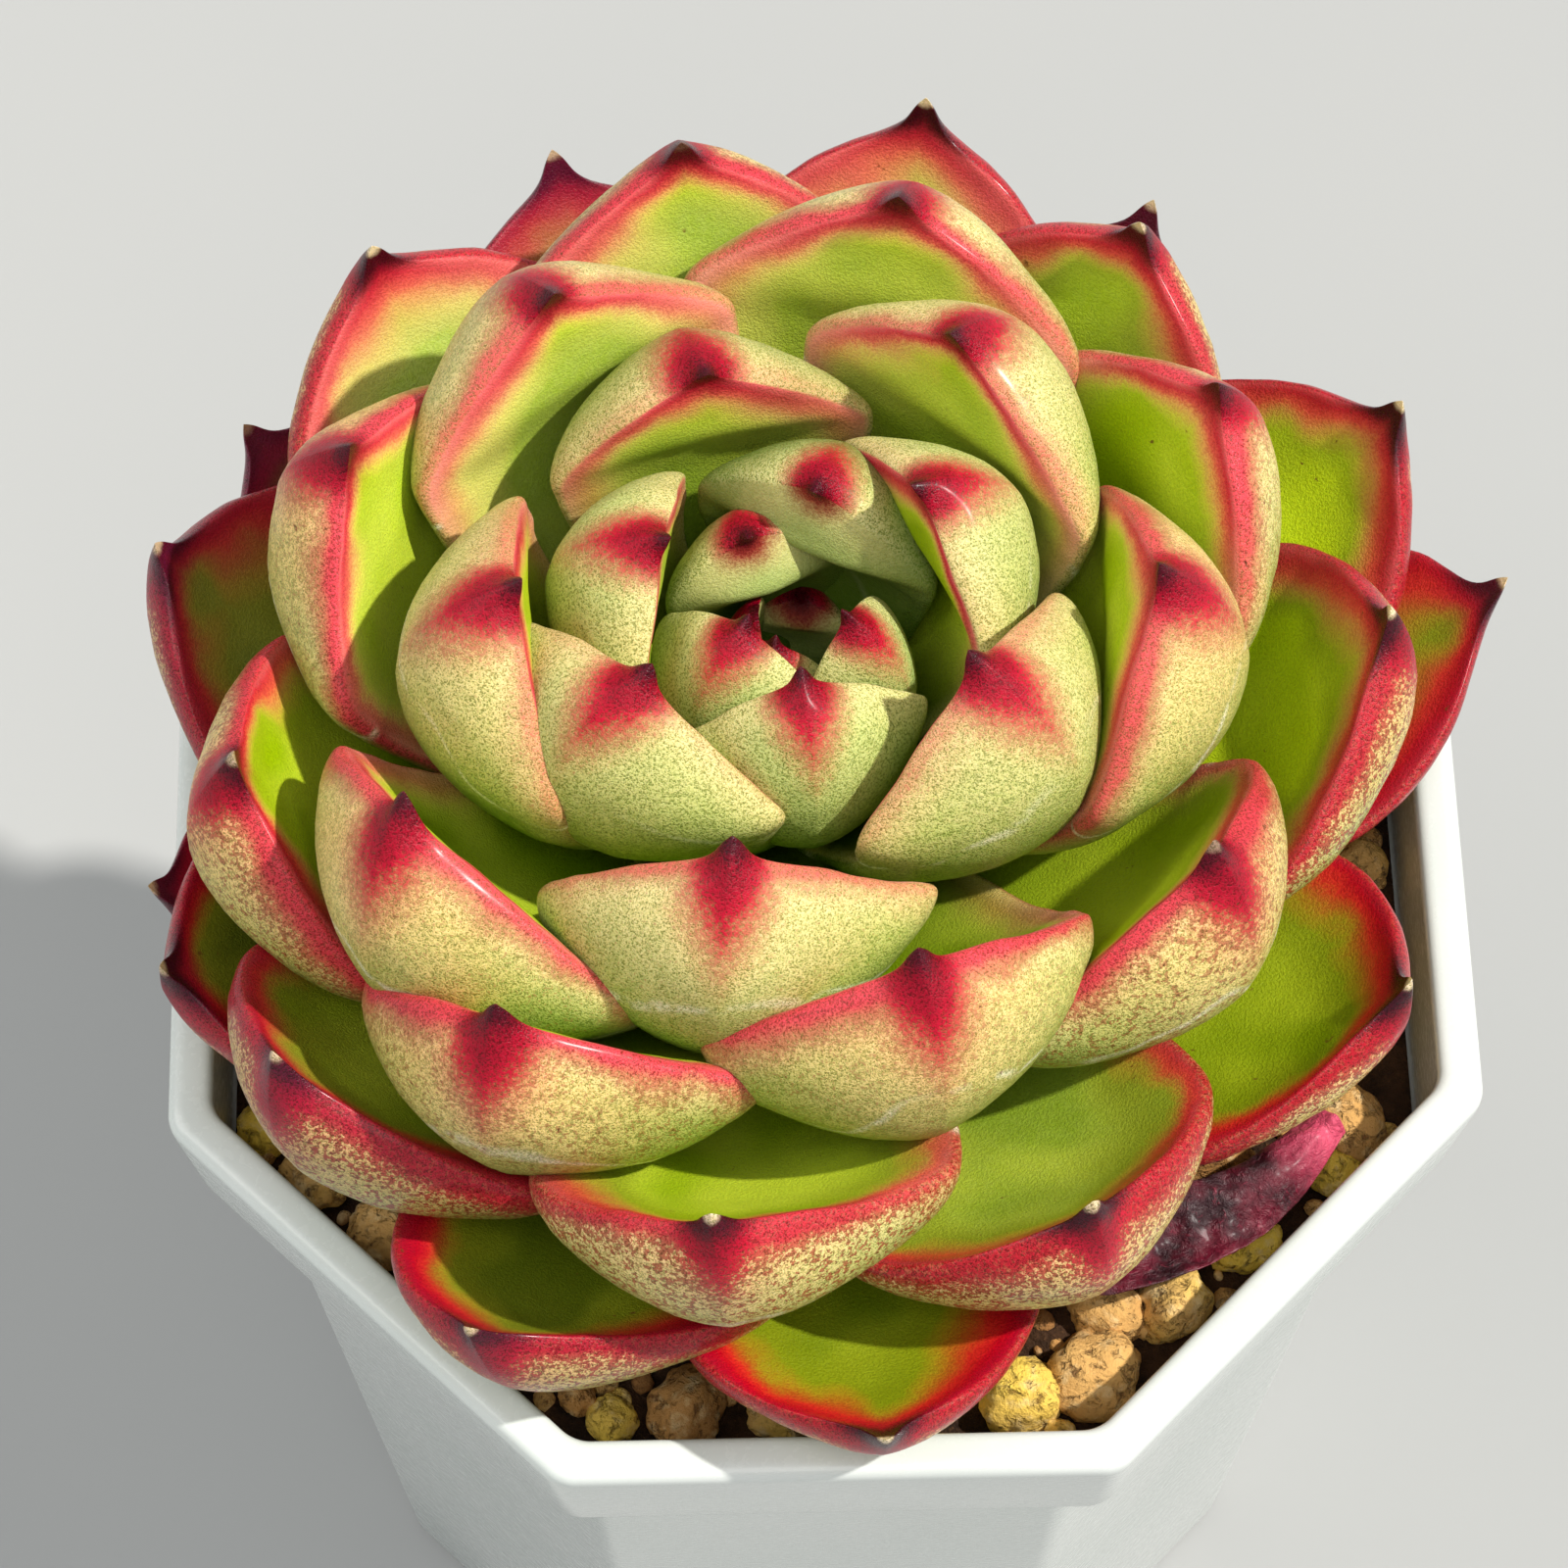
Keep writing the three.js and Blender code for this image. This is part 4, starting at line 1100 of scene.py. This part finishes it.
def make_dried_leaf(material):
    """A shrivelled blade lying on the gravel under the front right leaves."""
    path = np.array(DRIED_PATH, float)
    t = np.linspace(0, 1, DRIED_STEPS)
    middle = np.stack([
        [law_at(path[:, k], x * (len(path) - 1) * LEAVES_PER_VALUE) for k in range(3)] for x in t
    ])
    way = np.gradient(middle, axis=0)
    way[:, 2] = 0
    way /= np.linalg.norm(way, axis=1, keepdims=True)
    across = np.stack([-way[:, 1], way[:, 0], np.zeros(len(t))], 1)
    v = -np.cos(np.linspace(0, np.pi, DRIED_ACROSS))
    half = DRIED_HALF_WIDTH * (0.45 + 0.55 * np.sin(np.pi * np.minimum(0.9 * t + 0.12, 1)))
    rings = []
    for i in range(len(t)):
        fold = DRIED_FOLD * np.cos(v * 2.6 + t[i] * 7) * (0.4 + 0.6 * np.abs(v))
        place = middle[i] + across[i] * (v * half[i])[:, None]
        place[:, 2] += fold
        broad = DRIED_CREASES[0] * wobble(place * [1, 1, 0.2], 0.6, 21)
        small = DRIED_CREASES[1] * wobble(place, 1.7, 5)
        place[:, 2] += (broad + small) * (1 - 0.5 * np.abs(v))
        thin = DRIED_THICKNESS * np.sqrt(np.clip(1 - v * v, 0, 1))[:, None] * 0.5
        up = place + thin * [0, 0, 1]
        down = place - thin * [0, 0, 1]
        rings.append(np.concatenate([up, down[-2:0:-1]]))
    points = np.stack(rings)[:, ::-1]
    mesh = closed_mesh("fine_dried_leaf", points, points[0].mean(0), points[-1].mean(0))
    where = np.repeat(t, points.shape[1])
    rows = np.stack([where, np.zeros_like(where), np.zeros_like(where)], 1)
    put_attribute(mesh, "place", np.concatenate([rows, [[0, 0, 0], [1, 0, 0]]]))
    add_piece("fine_dried_leaf", mesh, material, ["dried_leaf"])


def make_camera():
    """The photograph's view."""
    elevation = math.radians(CAMERA_ELEVATION)
    turn = Matrix.Rotation(math.radians(CAMERA_TURN), 3, "Z")
    back = turn @ Vector((0, -math.cos(elevation), math.sin(elevation)))
    right = turn @ Vector((1, 0, 0))
    up = back.cross(right)
    roll = math.radians(CAMERA_ROLL)
    tilted_right = right * math.cos(roll) + up * math.sin(roll)
    tilted_up = up * math.cos(roll) - right * math.sin(roll)
    lens = bpy.data.cameras.new("camera")
    lens.sensor_width = SENSOR_WIDTH
    lens.lens = FOCAL_LENGTH
    lens.clip_start = 0.01
    lens.clip_end = 20
    camera = bpy.data.objects.new("camera", lens)
    place = Vector(CAMERA_AIM) * MM + back * CAMERA_DISTANCE * MM
    camera.matrix_world = Matrix((
        (tilted_right.x, tilted_up.x, back.x, place.x),
        (tilted_right.y, tilted_up.y, back.y, place.y),
        (tilted_right.z, tilted_up.z, back.z, place.z),
        (0, 0, 0, 1),
    ))
    bpy.context.scene.collection.objects.link(camera)
    bpy.context.scene.camera = camera


def add_light(name, kind, energy, azimuth, elevation, size, color):
    """A light aimed at the plant. Azimuth 0 is the photograph's side, and 90 is its right.

    The size is an area's side in metres, or the sun's angle in degrees.
    """
    lamp = bpy.data.lights.new(name, kind)
    lamp.energy = energy
    lamp.color = color
    if kind == "AREA":
        lamp.size = size
    else:
        lamp.angle = math.radians(size)
    a, e = math.radians(azimuth), math.radians(elevation)
    way = Vector((math.sin(a) * math.cos(e), -math.cos(a) * math.cos(e), math.sin(e)))
    light = bpy.data.objects.new(name, lamp)
    light.location = way * LIGHT_DISTANCE + Vector((0, 0, AIM_HEIGHT))
    light.rotation_mode = "QUATERNION"
    light.rotation_quaternion = way.to_track_quat("Z", "Y")
    bpy.context.scene.collection.objects.link(light)


def make_stage():
    g = Graph("pale_floor")
    shade = g.noise(g.spot(), 0.01, 2)
    color = g.mix(shade, srgb(156, 158, 158), srgb(162, 163, 162))
    mesh = bpy.data.meshes.new("floor")
    corners = ((-1, -1, 0), (1, -1, 0), (1, 1, 0), (-1, 1, 0))
    mesh.from_pydata([Vector(c) * FLOOR_REACH for c in corners], [], [(0, 1, 2, 3)])
    floor = bpy.data.objects.new("floor", mesh)
    bpy.context.scene.collection.objects.link(floor)
    mesh.materials.append(g.finish(color, 0.7))
    world = bpy.data.worlds.new("studio")
    world.use_nodes = True
    sky = world.node_tree.nodes["Background"]
    sky.inputs["Color"].default_value = (0.96, 0.98, 1.0, 1)
    sky.inputs["Strength"].default_value = 0.52
    bpy.context.scene.world = world
    add_light("key", "SUN", 4.5, 88, 51, 2, (1.0, 0.96, 0.9))
    add_light("front", "AREA", 1.6, -5, 62, 0.5, (1.0, 0.99, 0.97))
    add_light("left", "AREA", 2.2, -95, 46, 0.5, (1.0, 0.98, 0.95))
    bpy.context.scene.view_settings.view_transform = "Standard"


make_camera()
make_stage()
leaf_kinds = (
    (12, "leaf_inner", leaf_material("leaf_skin_inner", 0.04)),
    (30, "leaf_middle", leaf_material("leaf_skin_middle", 0.08)),
    (48, "leaf_outer", leaf_material("leaf_skin_outer", 0.24)),
)
for leaf in range(1, OLDEST_LEAF + 1):
    if leaf in MISSING_LEAVES:
        continue
    slot, material = next((s, m) for last, s, m in leaf_kinds if leaf <= last)
    make_leaf(leaf, material)
soil = soil_material()
make_pot(pot_material())
make_gravel(stone_material(), soil)
make_dried_leaf(dried_material())
for node, material in (("soil", soil), ("stem", stem_material())):
    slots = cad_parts[node].data.materials
    slots.clear()
    slots.append(material)
